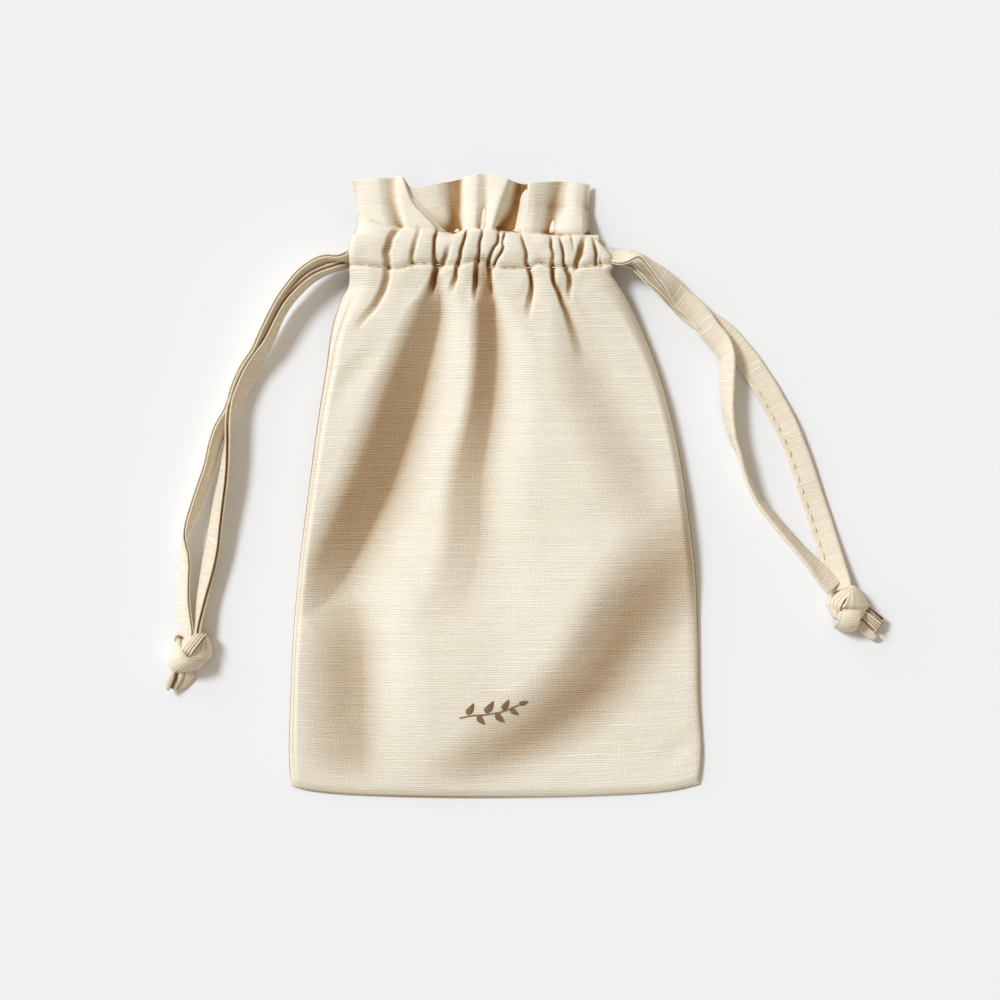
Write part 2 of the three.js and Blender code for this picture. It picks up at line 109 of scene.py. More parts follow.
def linear(hexColour):
    values = [int(hexColour[i:i + 2], 16) / 255 for i in (0, 2, 4)]
    return [v / 12.92 if v <= 0.04045 else ((v + 0.055) / 1.055) ** 2.4 for v in values]


def addNode(tree, kind, settings=None, **inputs):
    # A node with its settings. Each input is linked to a socket, or set to a value or a hex colour,
    # and is named or, as i0, i1 and so on, numbered.
    node = tree.nodes.new(kind)
    for key, value in (settings or {}).items():
        setattr(node, key, value)
    for key, value in inputs.items():
        slot = node.inputs[int(key[1:])] if key[0] == "i" and key[1:].isdigit() else node.inputs[key]
        if isinstance(value, bpy.types.NodeSocket):
            tree.links.new(value, slot)
        elif isinstance(value, str):
            slot.default_value = (*linear(value), 1)
        else:
            slot.default_value = value
    return node


def makeCamera():
    x, y = fromPhoto(photo["size"] / 2, photo["size"] / 2)
    width = photo["size"] * photo["pixelMm"]
    height = width * camera["lensMm"] / camera["sensorMm"]
    data = bpy.data.cameras.new("photo_camera")
    data.lens = camera["lensMm"]
    data.sensor_width = camera["sensorMm"]
    data.sensor_fit = "HORIZONTAL"
    data.clip_start = 0.01
    data.clip_end = 20
    data.dof.use_dof = False
    view = bpy.data.objects.new("photo_camera", data)
    view.location = (x * toMetres, y * toMetres, height * toMetres)
    bpy.context.scene.collection.objects.link(view)
    bpy.context.scene.camera = view


def meshFrom(bm, name):
    mesh = bpy.data.meshes.new(name)
    bm.to_mesh(mesh)
    bm.free()
    mesh.polygons.foreach_set("use_smooth", np.ones(len(mesh.polygons), dtype=bool))
    return mesh


def makeFloor():
    bm = bmesh.new()
    bmesh.ops.create_grid(bm, x_segments=1, y_segments=1, size=3)
    mesh = meshFrom(bm, "floor")
    floor = bpy.data.objects.new("floor", mesh)
    bpy.context.scene.collection.objects.link(floor)
    material = bpy.data.materials.new("matt_paper_floor")
    material.use_nodes = True
    shader = material.node_tree.nodes["Principled BSDF"]
    shader.inputs["Base Color"].default_value = (*linear(light["floor"]), 1)
    shader.inputs["Roughness"].default_value = 1.0
    shader.inputs["Specular IOR Level"].default_value = 0.0
    mesh.materials.append(material)


def makeLight():
    # A cool window from the left, the low glow round it, and a warm room. The shares are of the light
    # on a level surface, and add up to the level at which a colour renders as it is written.
    turn = math.radians(light["azimuth"])
    for name in ("window", "glow"):
        facts = light[name]
        rise = math.radians(facts["elevation"])
        towards = Vector((math.cos(turn) * math.cos(rise), math.sin(turn) * math.cos(rise), math.sin(rise)))
        sun = bpy.data.lights.new(name, "SUN")
        sun.energy = facts["share"] * math.pi / math.sin(rise)
        sun.angle = math.radians(facts["angle"])
        sun.color = facts["tint"]
        lamp = bpy.data.objects.new(name, sun)
        lamp.rotation_euler = towards.to_track_quat("Z", "Y").to_euler()
        bpy.context.scene.collection.objects.link(lamp)
    world = bpy.data.worlds.new("room")
    world.use_nodes = True
    back = world.node_tree.nodes["Background"]
    back.inputs["Color"].default_value = (*light["room"]["tint"], 1)
    back.inputs["Strength"].default_value = light["room"]["share"]
    bpy.context.scene.world = world


bpy.context.scene.view_settings.view_transform = "Standard"
makeCamera()
makeFloor()
makeLight()
print("camera, floor and light are set")


# Unbleached slub cotton, plain woven: matt and warm, with threads that thicken and thin, and here
# and there a raised thick one across the cloth. shade and deep are painted shade: the darker, warmer
# colours the cloth is painted where light would reach it only from the cloth round it.
slubCotton = {"weftMm": 0.70, "warpMm": 0.66, "cloth": "ede3ce", "pale": "f3ebda", "gap": "dfcfac",
              "slub": "f8f0dd", "shade": "b4915f", "deep": "8c5d2b", "reliefM": 0.00026,
              "roughness": 0.92, "specular": 0.15, "sheen": 0.1, "sheenRoughness": 0.5}

# Noise over the cloth: how many cells to the mm across and along it, and its detail
weaveNoise = {"weftWander": ((0.04, 0.5, 0), 3.0), "warpWander": ((0.5, 0.05, 0), 3.0),
              "patch": ((0.16, 0.22, 0), 3.0), "fibre": ((1.2, 3.2, 0), 3.0),
              "fleck": ((0.9, 1.6, 0), 3.0), "cloud": ((0.05, 0.07, 0), 2.0)}

# The weave in steps: a name, what is done, and its inputs, where a word is an earlier name or a
# setting. range is from low to high, to two new ends. Any word in capitals is a Math operation.
weaveSteps = (
    # Where each thread runs: its spacing wanders, so no two gaps are alike
    ("weftCount", "DIVIDE", "y", "weftMm"),
    ("weftPlace", "MULTIPLY_ADD", "weftWander", 2.6, "weftCount"),
    ("warpCount", "DIVIDE", "x", "warpMm"),
    ("warpPlace", "MULTIPLY_ADD", "warpWander", 2.6, "warpCount"),
    ("weftTurn", "MULTIPLY", "weftPlace", math.pi),
    ("warpTurn", "MULTIPLY", "warpPlace", math.pi),
    ("weftWave", "SINE", "weftTurn"),
    ("warpWave", "SINE", "warpTurn"),
    ("weft", "ABSOLUTE", "weftWave"),
    ("warp", "ABSOLUTE", "warpWave"),
    ("crossing", "MULTIPLY", "weftWave", "warpWave"),
    # Each weft thread thickens along its own stretches
    ("weftThread", "FLOOR", "weftPlace"),
    ("slubX", "MULTIPLY", "x", 0.11),
    ("slubY", "MULTIPLY", "weftThread", 3.7),
    ("slubPlace", "join", "slubX", "slubY"),
    ("slubNoise", "noise", "slubPlace", None, 1.0, 2.0),
    ("slubStart", "range", "slubNoise", 0.56, 0.68, 0.0, 1.0),
    ("slubHere", "MULTIPLY", "slubStart", "weft"),
    ("thickness", "random", None, "weftThread"),
    # The relief: in some patches the weft stands higher, in others the warp
    ("weftPatch", "range", "patch", 0.35, 0.65, 0.25, 0.75),
    ("warpPatch", "range", "patch", 0.35, 0.65, 0.3, 0.06),
    ("weftRise", "MULTIPLY", "weft", "weftPatch"),
    ("threadRise", "MULTIPLY_ADD", "warp", "warpPatch", "weftRise"),
    ("crossingRise", "MULTIPLY_ADD", "crossing", 0.12, "threadRise"),
    ("slubRise", "MULTIPLY_ADD", "slubHere", 0.55, "crossingRise"),
    ("height", "MULTIPLY_ADD", "fibre", 0.9, "slubRise"),
    # How much of each colour shows
    ("cover", "MULTIPLY_ADD", "warp", 0.8, "weft"),
    ("gapHere", "range", "cover", 0.1, 0.9, 0.45, 0.0),
    ("threadTone", "MULTIPLY", "thickness", 0.35),
    ("fleckTone", "MULTIPLY_ADD", "fleck", 0.9, "threadTone"),
    ("tone", "MULTIPLY_ADD", "cloud", 0.5, "fleckTone"),
    ("paleHere", "range", "tone", 0.5, 1.2, 0.0, 1.0),
    # Painted shade: the cloth is mixed towards its shade and deep colours by the painted shade mask, and
    # its relief is a little stronger there
    ("shadeHere", "range", "cavity", 0.0, 0.8, 0.0, 1.0),
    ("deepHere", "range", "cavity", 0.4, 1.0, 0.0, 0.9),
    ("strength", "range", "cavity", 0.1, 0.5, 0.55, 0.7),
)
stepKinds = {"range": ("ShaderNodeMapRange", {}), "join": ("ShaderNodeCombineXYZ", {}),
             "noise": ("ShaderNodeTexNoise", {}),
             "random": ("ShaderNodeTexWhiteNoise", {"noise_dimensions": "1D"})}


def clothMaterial(name, settings):
    material = bpy.data.materials.new(name)
    material.use_nodes = True
    tree = material.node_tree
    uv = addNode(tree, "ShaderNodeUVMap", {"uv_map": "weave"})
    flat = addNode(tree, "ShaderNodeVectorMath", {"operation": "SCALE"}, i0=uv.outputs[0], Scale=uvUnit)
    split = addNode(tree, "ShaderNodeSeparateXYZ", None, i0=flat.outputs[0])
    # The painted shade mask, which each mesh carries as an attribute
    cavity = addNode(tree, "ShaderNodeAttribute", {"attribute_name": "cavity"})
    made = {**settings, "x": split.outputs[0], "y": split.outputs[1], "cavity": cavity.outputs["Fac"]}
    for key, (stretch, detail) in weaveNoise.items():
        place = addNode(tree, "ShaderNodeVectorMath", {"operation": "MULTIPLY"},
                        i0=flat.outputs[0], i1=stretch)
        noise = addNode(tree, "ShaderNodeTexNoise", None, Vector=place.outputs[0], Scale=1.0, Detail=detail)
        made[key] = noise.outputs["Fac"]
    for key, step, *values in weaveSteps:
        kind, facts = stepKinds.get(step, ("ShaderNodeMath", {"operation": step}))
        inputs = {"i" + str(k): made.get(v, v) for k, v in enumerate(values) if v is not None}
        made[key] = addNode(tree, kind, facts, **inputs).outputs[0]
    colour = settings["cloth"]
    for key in ("pale", "gap", "slub", "shade", "deep"):
        mix = addNode(tree, "ShaderNodeMix", {"data_type": "RGBA"},
                      i0=made[key + "Here"], i6=colour, i7=settings[key])
        colour = mix.outputs[2]
    bump = addNode(tree, "ShaderNodeBump", None,
                   Height=made["height"], Strength=made["strength"], Distance=settings["reliefM"])
    shader = tree.nodes["Principled BSDF"]
    tree.links.new(colour, shader.inputs["Base Color"])
    tree.links.new(bump.outputs[0], shader.inputs["Normal"])
    shader.inputs["Roughness"].default_value = settings["roughness"]
    shader.inputs["Specular IOR Level"].default_value = settings["specular"]
    shader.inputs["Sheen Weight"].default_value = settings["sheen"]
    shader.inputs["Sheen Roughness"].default_value = settings["sheenRoughness"]
    return material


uvUnit = 100.0  # the UV map holds the cloth's own mm, divided by this
clothCotton = clothMaterial("slub_cotton_cloth", slubCotton)
tapeCotton = clothMaterial("slub_cotton_tape", {**slubCotton, "cloth": "e8dac1", "pale": "f2e7d2"})


def gridMesh(name, places, uv, cavity, closed=False):
    # A grid of rows x columns of places in mm, with the cloth's own mm as its UV map. A closed one
    # has its long edges joined and its ends filled.
    rows, columns = places.shape[:2]
    bm = bmesh.new()
    bmesh.ops.create_grid(bm, x_segments=columns - 1, y_segments=rows - 1, size=0.5)
    mesh = meshFrom(bm, name)
    flat = np.zeros(len(mesh.vertices) * 3)
    mesh.vertices.foreach_get("co", flat)
    flat = flat.reshape(-1, 3)
    i = np.rint((flat[:, 1] + 0.5) * (rows - 1)).astype(int)
    j = np.rint((flat[:, 0] + 0.5) * (columns - 1)).astype(int)
    mesh.vertices.foreach_set("co", (places[i, j] * toMetres).ravel())
    weave = mesh.uv_layers.new(name="weave")
    corner = np.zeros(len(mesh.loops), dtype=np.int32)
    mesh.loops.foreach_get("vertex_index", corner)
    weave.data.foreach_set("uv", (uv[i, j][corner] / uvUnit).ravel())
    # Painted shade: how far each place's colour is darkened towards the shade colours
    layer = mesh.attributes.new("cavity", "FLOAT", "POINT")
    layer.data.foreach_set("value", cavity[i, j])
    if closed:
        bm = bmesh.new()
        bm.from_mesh(mesh)
        bpy.data.meshes.remove(mesh)
        bmesh.ops.remove_doubles(bm, verts=bm.verts, dist=1e-6)
        bmesh.ops.holes_fill(bm, edges=[e for e in bm.edges if e.is_boundary], sides=0)
        bmesh.ops.recalc_face_normals(bm, faces=bm.faces)
        mesh = meshFrom(bm, name)
    mesh.update()
    return mesh


def placeMesh(name, mesh, body, material):
    mesh.materials.clear()
    mesh.materials.append(material)
    piece = bpy.data.objects.new(name, mesh)
    bpy.context.scene.collection.objects.link(piece)
    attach(piece, body)
    return piece


# The drawstrings' free strands: a strip of the same cloth, folded lengthwise and sewn, which stands
# on its edge or lies flat. Each row has the two long edges in the photograph's pixels, and their
# heights in mm: the fold first, then the open lips. The way is from the casing to the knot. open is
# how far the lips gape, and length, in metres, that of the solid strand.
# Each place of section has its share of half the width and half the thickness, and its painted shade,
# darkest deep between the lips
tape = {"width": 7.0, "thick": 1.35, "thickAtCasing": 1.9, "casingRun": 5.0, "step": 0.6,
        "bulge": 0.22, "bulgeCell": 7.0,
        "section": ((-0.70, 0.0, 1.0), (-0.95, 0.16, 0.5), (-1.0, 0.5, 0.0), (-0.97, 0.85, 0.0),
                    (-0.88, 1.0, 0.0), (-0.66, 0.93, 0.1), (-0.35, 1.0, 0.0), (0.0, 0.95, 0.0),
                    (0.35, 1.0, 0.0), (0.72, 1.0, 0.0), (0.90, 0.88, 0.0), (0.98, 0.5, 0.0))}
strands = {
    "left_front": {"body": "left_drawstring", "length": 0.125, "open": 0.0, "rows": (
        (354, 263.4, 354, 251.1, 7.4, 7.4), (348, 264, 348, 256, 5.0, 9.4),
        (339, 262.5, 339, 259, 3.9, 10.3), (327, 264, 327, 258.8, 3.9, 10.5),
        (320, 269, 315, 263, 4.2, 10.6), (305.5, 279.5, 299.5, 274.5, 4.4, 10.6),
        (290, 298, 283.6, 294.5, 4.2, 10.5), (279.5, 315, 273, 312, 3.6, 9.8),
        (269.5, 336, 262.6, 333, 2.8, 9.0), (262, 354, 254.6, 350, 2.0, 8.2),
        (252, 372, 243.5, 366.5, 1.4, 7.6), (244, 389, 234.5, 385.5, 1.0, 7.1),
        (236.5, 411, 227.5, 408, 0.9, 7.0), (227, 430, 217.5, 426, 0.9, 7.0),
        (220, 447, 211.5, 444, 0.9, 7.0), (214.5, 468, 206.5, 466, 0.9, 7.1),
        (203, 500, 196, 497, 0.9, 6.7), (192, 524, 188.5, 522, 0.9, 6.4),
        (186.5, 536, 187.0, 535, 0.9, 6.2), (183.5, 545, 188.5, 543, 0.9, 6.0),
        (181.5, 554, 190.6, 552, 0.9, 5.7), (180.5, 565, 191.5, 564, 0.9, 5.3),
        (180, 582, 190.8, 581, 0.9, 4.9), (179.6, 600, 190.5, 600, 0.9, 4.7),
        (179.4, 616, 192.3, 615, 0.9, 4.9), (181, 632, 194.5, 630, 1.2, 5.4),
        (183, 644, 194.5, 641, 1.8, 5.8))},
    "left_back": {"body": "left_drawstring", "length": 0.128, "open": 0.3, "rows": (
        (354, 263.4, 354, 251.1, 1.9, 1.9), (348, 267, 348, 262, 1.4, 5.6),
        (337, 270, 336.3, 267.3, 1.2, 8.1), (322, 277, 320.5, 273, 1.9, 8.8),
        (310.5, 285, 308, 280.5, 2.3, 9.2), (297.5, 298, 293.8, 293.6, 2.3, 9.2),
        (289.5, 308, 284.6, 304.8, 2.1, 9.0), (281.5, 322, 276.4, 319, 1.8, 8.7),
        (273, 343, 265.4, 340.2, 1.5, 8.0), (265, 359, 254.6, 354.6, 1.2, 7.4),
        (257.5, 376, 245.6, 368.3, 1.0, 6.9), (249, 393, 237.6, 386, 1.0, 6.8),
        (241.5, 406, 232.4, 401, 1.0, 7.1), (233, 421, 230, 420, 1.0, 7.5),
        (226.5, 440, 230.2, 441, 1.0, 7.5), (221.5, 462, 230, 461, 1.0, 7.3),
        (218, 481, 228.6, 480, 1.0, 6.9), (214.5, 500, 226, 500, 1.0, 6.5),
        (211, 522, 223, 524, 1.0, 6.0), (207, 544, 220.5, 546, 1.0, 5.5), (203, 562, 217, 564, 1.0, 5.1),
        (200, 578, 212.5, 581, 1.0, 4.9), (197.5, 595, 208, 597, 1.0, 4.9),
        (196.5, 609, 204.6, 611, 1.2, 5.2), (196.6, 624, 201, 627, 1.5, 5.7),
        (195.5, 639, 199, 641, 1.8, 6.2))},
    "right_front": {"body": "right_drawstring", "length": 0.128, "open": 0.0, "rows": (
        (594, 246, 594, 257, 7.4, 7.4), (605, 251.5, 605.5, 261, 6.0, 8.2),
        (614, 252.5, 615.5, 266, 5.2, 9.6), (624, 252, 624.5, 266, 5.0, 10.5),
        (632.5, 253.5, 631.5, 262.5, 4.8, 11.2), (641.5, 257.5, 637, 260.5, 4.6, 11.3),
        (652.5, 264.5, 646.5, 271, 4.0, 10.4), (663.6, 270.1, 654, 281, 3.6, 9.2),
        (673, 277.5, 661.5, 289.5, 3.2, 8.2), (680.5, 284.5, 667, 299, 2.9, 6.6),
        (688, 291.5, 673, 308, 2.9, 4.6), (701.5, 303, 686, 319, 3.2, 3.2),
        (711, 314, 694, 329, 3.4, 2.6), (718, 324.5, 700.5, 338, 3.8, 2.0),
        (727, 336, 710, 348, 4.6, 1.2), (731.5, 348, 717.5, 356, 5.8, 0.9),
        (733, 362, 720.8, 362, 6.7, 0.9), (731.8, 391, 721.5, 391, 6.8, 0.9),
        (731, 412, 724, 413, 7.2, 0.9), (733, 437, 730.5, 438, 7.5, 0.9),
        (737.5, 455, 739, 455, 7.5, 0.9), (744, 480, 748.5, 478, 7.4, 0.9),
        (754, 502, 760, 499, 7.3, 0.9), (768, 521, 774, 516, 7.3, 0.9), (782, 538, 788.5, 532, 7.2, 0.9),
        (794.5, 553, 802, 547, 7.1, 1.0), (805, 566, 815, 559, 6.8, 1.2), (815, 581, 829, 570, 6.2, 1.8),
        (826, 594, 840, 581, 5.6, 2.6))},
    "right_back": {"body": "right_drawstring", "length": 0.126, "open": 0.0, "rows": (
        (592, 246, 592, 256, 1.9, 1.9), (606, 253, 606, 260, 1.0, 4.0), (620, 260, 620, 266, 0.8, 6.6),
        (632, 264, 630, 268.5, 0.8, 7.2), (643, 269, 638.2, 276.5, 0.8, 7.2),
        (655, 278, 648.5, 287, 0.8, 6.8), (666.5, 287, 659, 296, 0.8, 5.8),
        (679, 297, 668.5, 306, 0.8, 3.4), (693, 302.5, 678, 317, 0.8, 1.2),
        (707, 309, 690, 326, 0.8, 0.8), (717, 314.5, 701, 331.5, 0.8, 0.8),
        (728, 322, 711, 339, 0.8, 0.8), (738, 331.5, 720, 347, 0.8, 0.8), (747, 342, 728, 357, 0.8, 0.8),
        (758, 355, 738, 368.5, 0.8, 0.8), (767, 369, 746.8, 381.5, 0.9, 0.8),
        (776, 383, 755, 395, 1.2, 0.8), (784, 398, 763, 409, 1.6, 0.8),
        (791, 411, 769.5, 420.5, 1.9, 0.8), (797.5, 425, 776.5, 434, 2.1, 0.8),
        (805.5, 445, 784.5, 452, 2.0, 0.8), (813, 465, 791.5, 472.5, 1.7, 0.8),
        (822, 492, 800, 499.5, 1.4, 0.8), (831, 519, 809, 526, 1.5, 0.8),
        (838.5, 543, 816.5, 549.5, 1.9, 0.9), (845, 565, 823, 570.5, 2.8, 1.4),
        (848.5, 577, 827.5, 583, 3.6, 2.4), (850, 587, 831, 592, 4.4, 3.2))},
}


def strandFrames(rows):
    # Even steps along a strand: its middle, the way across it, the way out of its face, its width
    # and the distance run, all in mm
    rows = np.array(rows, float)
    edges = np.hstack([raised(rows[:, [0, 1, 4]]), raised(rows[:, [2, 3, 5]])])
    fine = smoothLine(edges, 12)
    run = distances((fine[:, :3] + fine[:, 3:]) / 2)
    even = np.linspace(0, run[-1], int(run[-1] / tape["step"]) + 1)
    fine = np.column_stack([np.interp(even, run, fine[:, k]) for k in range(6)])
    middle, across = (fine[:, :3] + fine[:, 3:]) / 2, fine[:, :3] - fine[:, 3:]
    forward = np.gradient(middle, axis=0)
    face = unit(np.cross(forward, unit(across)))
    return middle, unit(np.cross(face, forward)), face, np.linalg.norm(across, axis=1), even


def tapeSection(width, thick, opened):
    # The closed line round a folded strip: the fold at +, the open lips at -. Each place has its share
    # of half the width and half the thickness, and how deep it lies between the lips, from 0 to 1, which
    # is the painted shade its colour gets.
    half = list(tape["section"])
    loop = half + [(1.0, 0.0, 0.0)] + [(u, -v, deep) for u, v, deep in reversed(half[1:])] + [half[0]]
    u, v, deep = np.array(loop).T
    lips = np.clip(-u - 0.1, 0, 1) ** 1.5 * np.sign(v) * opened
    return u * width / 2, v * thick / 2 + lips, deep


def ribbonMesh(name, middle, across, face, width, run, thick, opened=0.0):
    # The faces bulge and sink a little along the way, by a noise that the piece's name seeds
    thick = np.broadcast_to(thick, width.shape)
    places, uv, cavity = [], [], []
    wave = shapeNoise(run, np.full_like(run, len(name) * 1.7), tape["bulgeCell"], len(name))
    for k in range(len(middle)):
        u, v, deep = tapeSection(width[k], thick[k], opened)
        bulge = tape["bulge"] * wave[k] * np.cos(np.clip(u / width[k], -0.5, 0.5) * math.pi)
        places.append(middle[k] + np.outer(u, across[k]) + np.outer(v + bulge, face[k]))
        ring = distances(np.column_stack([u, v]))
        uv.append(np.column_stack([ring, np.full_like(u, run[k])]))
        cavity.append(deep)
    return gridMesh(name, np.array(places), np.array(uv), np.array(cavity), closed=True)


def makeStrand(name, facts):
    middle, across, face, width, run = strandFrames(facts["rows"])
    nearCasing = np.clip(1 - run / tape["casingRun"], 0, 1)
    thick = tape["thick"] + (tape["thickAtCasing"] - tape["thick"]) * nearCasing
    mesh = ribbonMesh(name + "_tape", middle, across, face, width, run, thick, facts["open"])
    piece = placeMesh(name + "_tape", mesh, facts["body"], tapeCotton)
    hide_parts(name + "_strand")
    print(name, "strand is", round(run[-1], 1), "mm, width",
          width.min().round(1), "to", width.max().round(1))


# The knots are wrapped of bands of tape, and nothing of them lies lower than lowest. The inner face
# of a band has a little painted shade, and so have its pleats, by their depth.
knotTape = {"thick": 0.9, "lowest": 0.1, "innerShade": 0.4, "pleatShade": 1.4}


def bandPlaces(railA, railB, form="flat", crown=0.0, pleats=(), rows=6, columns=25):
    # A patch of tape between two rails of (x, y, height). A round one rises steeply from its first
    # rail and arrives level at its second. A pleat has its place from the first rail to the second,
    # from 0 to 1, its depth in mm and its width.
    a, b = (raised(smoothLine(rail, rows))[:, None] for rail in (railA, railB))
    u = np.linspace(0, 1, columns)[None, :, None]
    if form == "round":
        flat, rise = 1 - np.cos(u * math.pi / 2), np.sin(u * math.pi / 2)
    else:
        flat, rise = u, u
    places = a + (b - a) * np.concatenate([flat, flat, rise], axis=2)
    normal = surfaceNormals(places)
    if normal[..., 2].mean() < 0:
        places, normal = places[:, ::-1], -normal[:, ::-1]
        u = u[:, ::-1]
    bulge = crown * 4 * u * (1 - u)
    dip, cavity = np.zeros(u.shape), np.zeros(u.shape)
    for at, depth, width in pleats:
        groove = np.exp(-((u - at) / width) ** 2)
        dip = dip + depth * groove
        # Each pleat's painted shade, by its depth
        cavity = np.maximum(cavity, min(1, knotTape["pleatShade"] * depth) * groove)
    places = places + normal * (bulge - dip)
    return places, np.broadcast_to(cavity[..., 0], places.shape[:2])


def surfaceNormals(places):
    along = np.gradient(places, axis=1)
    up = np.gradient(places, axis=0)
    return unit(np.cross(along, up))


def gridDistances(places):
    # The distance along the rows and up the columns of a grid, for its UV map
    across = np.linalg.norm(np.diff(places, axis=1), axis=2).cumsum(axis=1)
    across = np.pad(across, ((0, 0), (1, 0)))
    up = np.linalg.norm(np.diff(places, axis=0), axis=2).mean(axis=1).cumsum()
    up = np.broadcast_to(np.pad(up, (1, 0))[:, None], across.shape)
    return np.dstack([across, up])


def bandMesh(name, band):
    # Both faces of a band and its edges, as one closed body
    facts = dict(band)
    thick = facts.pop("thick", knotTape["thick"])
    top, cavity = bandPlaces(**facts)
    low = top - surfaceNormals(top) * thick
    low[..., 2] = np.maximum(low[..., 2], knotTape["lowest"])
    places = np.concatenate([top, low[:, ::-1], top[:, :1]], axis=1)
    # The inner face gets painted shade
    cavity = np.concatenate([cavity, np.full_like(cavity, knotTape["innerShade"]), cavity[:, :1]], axis=1)
    return gridMesh(name, places, gridDistances(places), cavity, closed=True)


def bandObject(name, bands, body, core=None):
    bm = bmesh.new()
    for band in bands:
        mesh = bandMesh(name, band)
        bm.from_mesh(mesh)
        bpy.data.meshes.remove(mesh)
    if core:
        x, y = fromPhoto(core["x"], core["y"])
        ball = bmesh.ops.create_icosphere(bm, subdivisions=4, radius=toMetres)
        bmesh.ops.scale(bm, vec=core["size"], verts=ball["verts"])
        bmesh.ops.translate(bm, vec=Vector((x, y, core["z"])) * toMetres, verts=ball["verts"])
    return placeMesh(name, meshFrom(bm, name), body, tapeCotton)


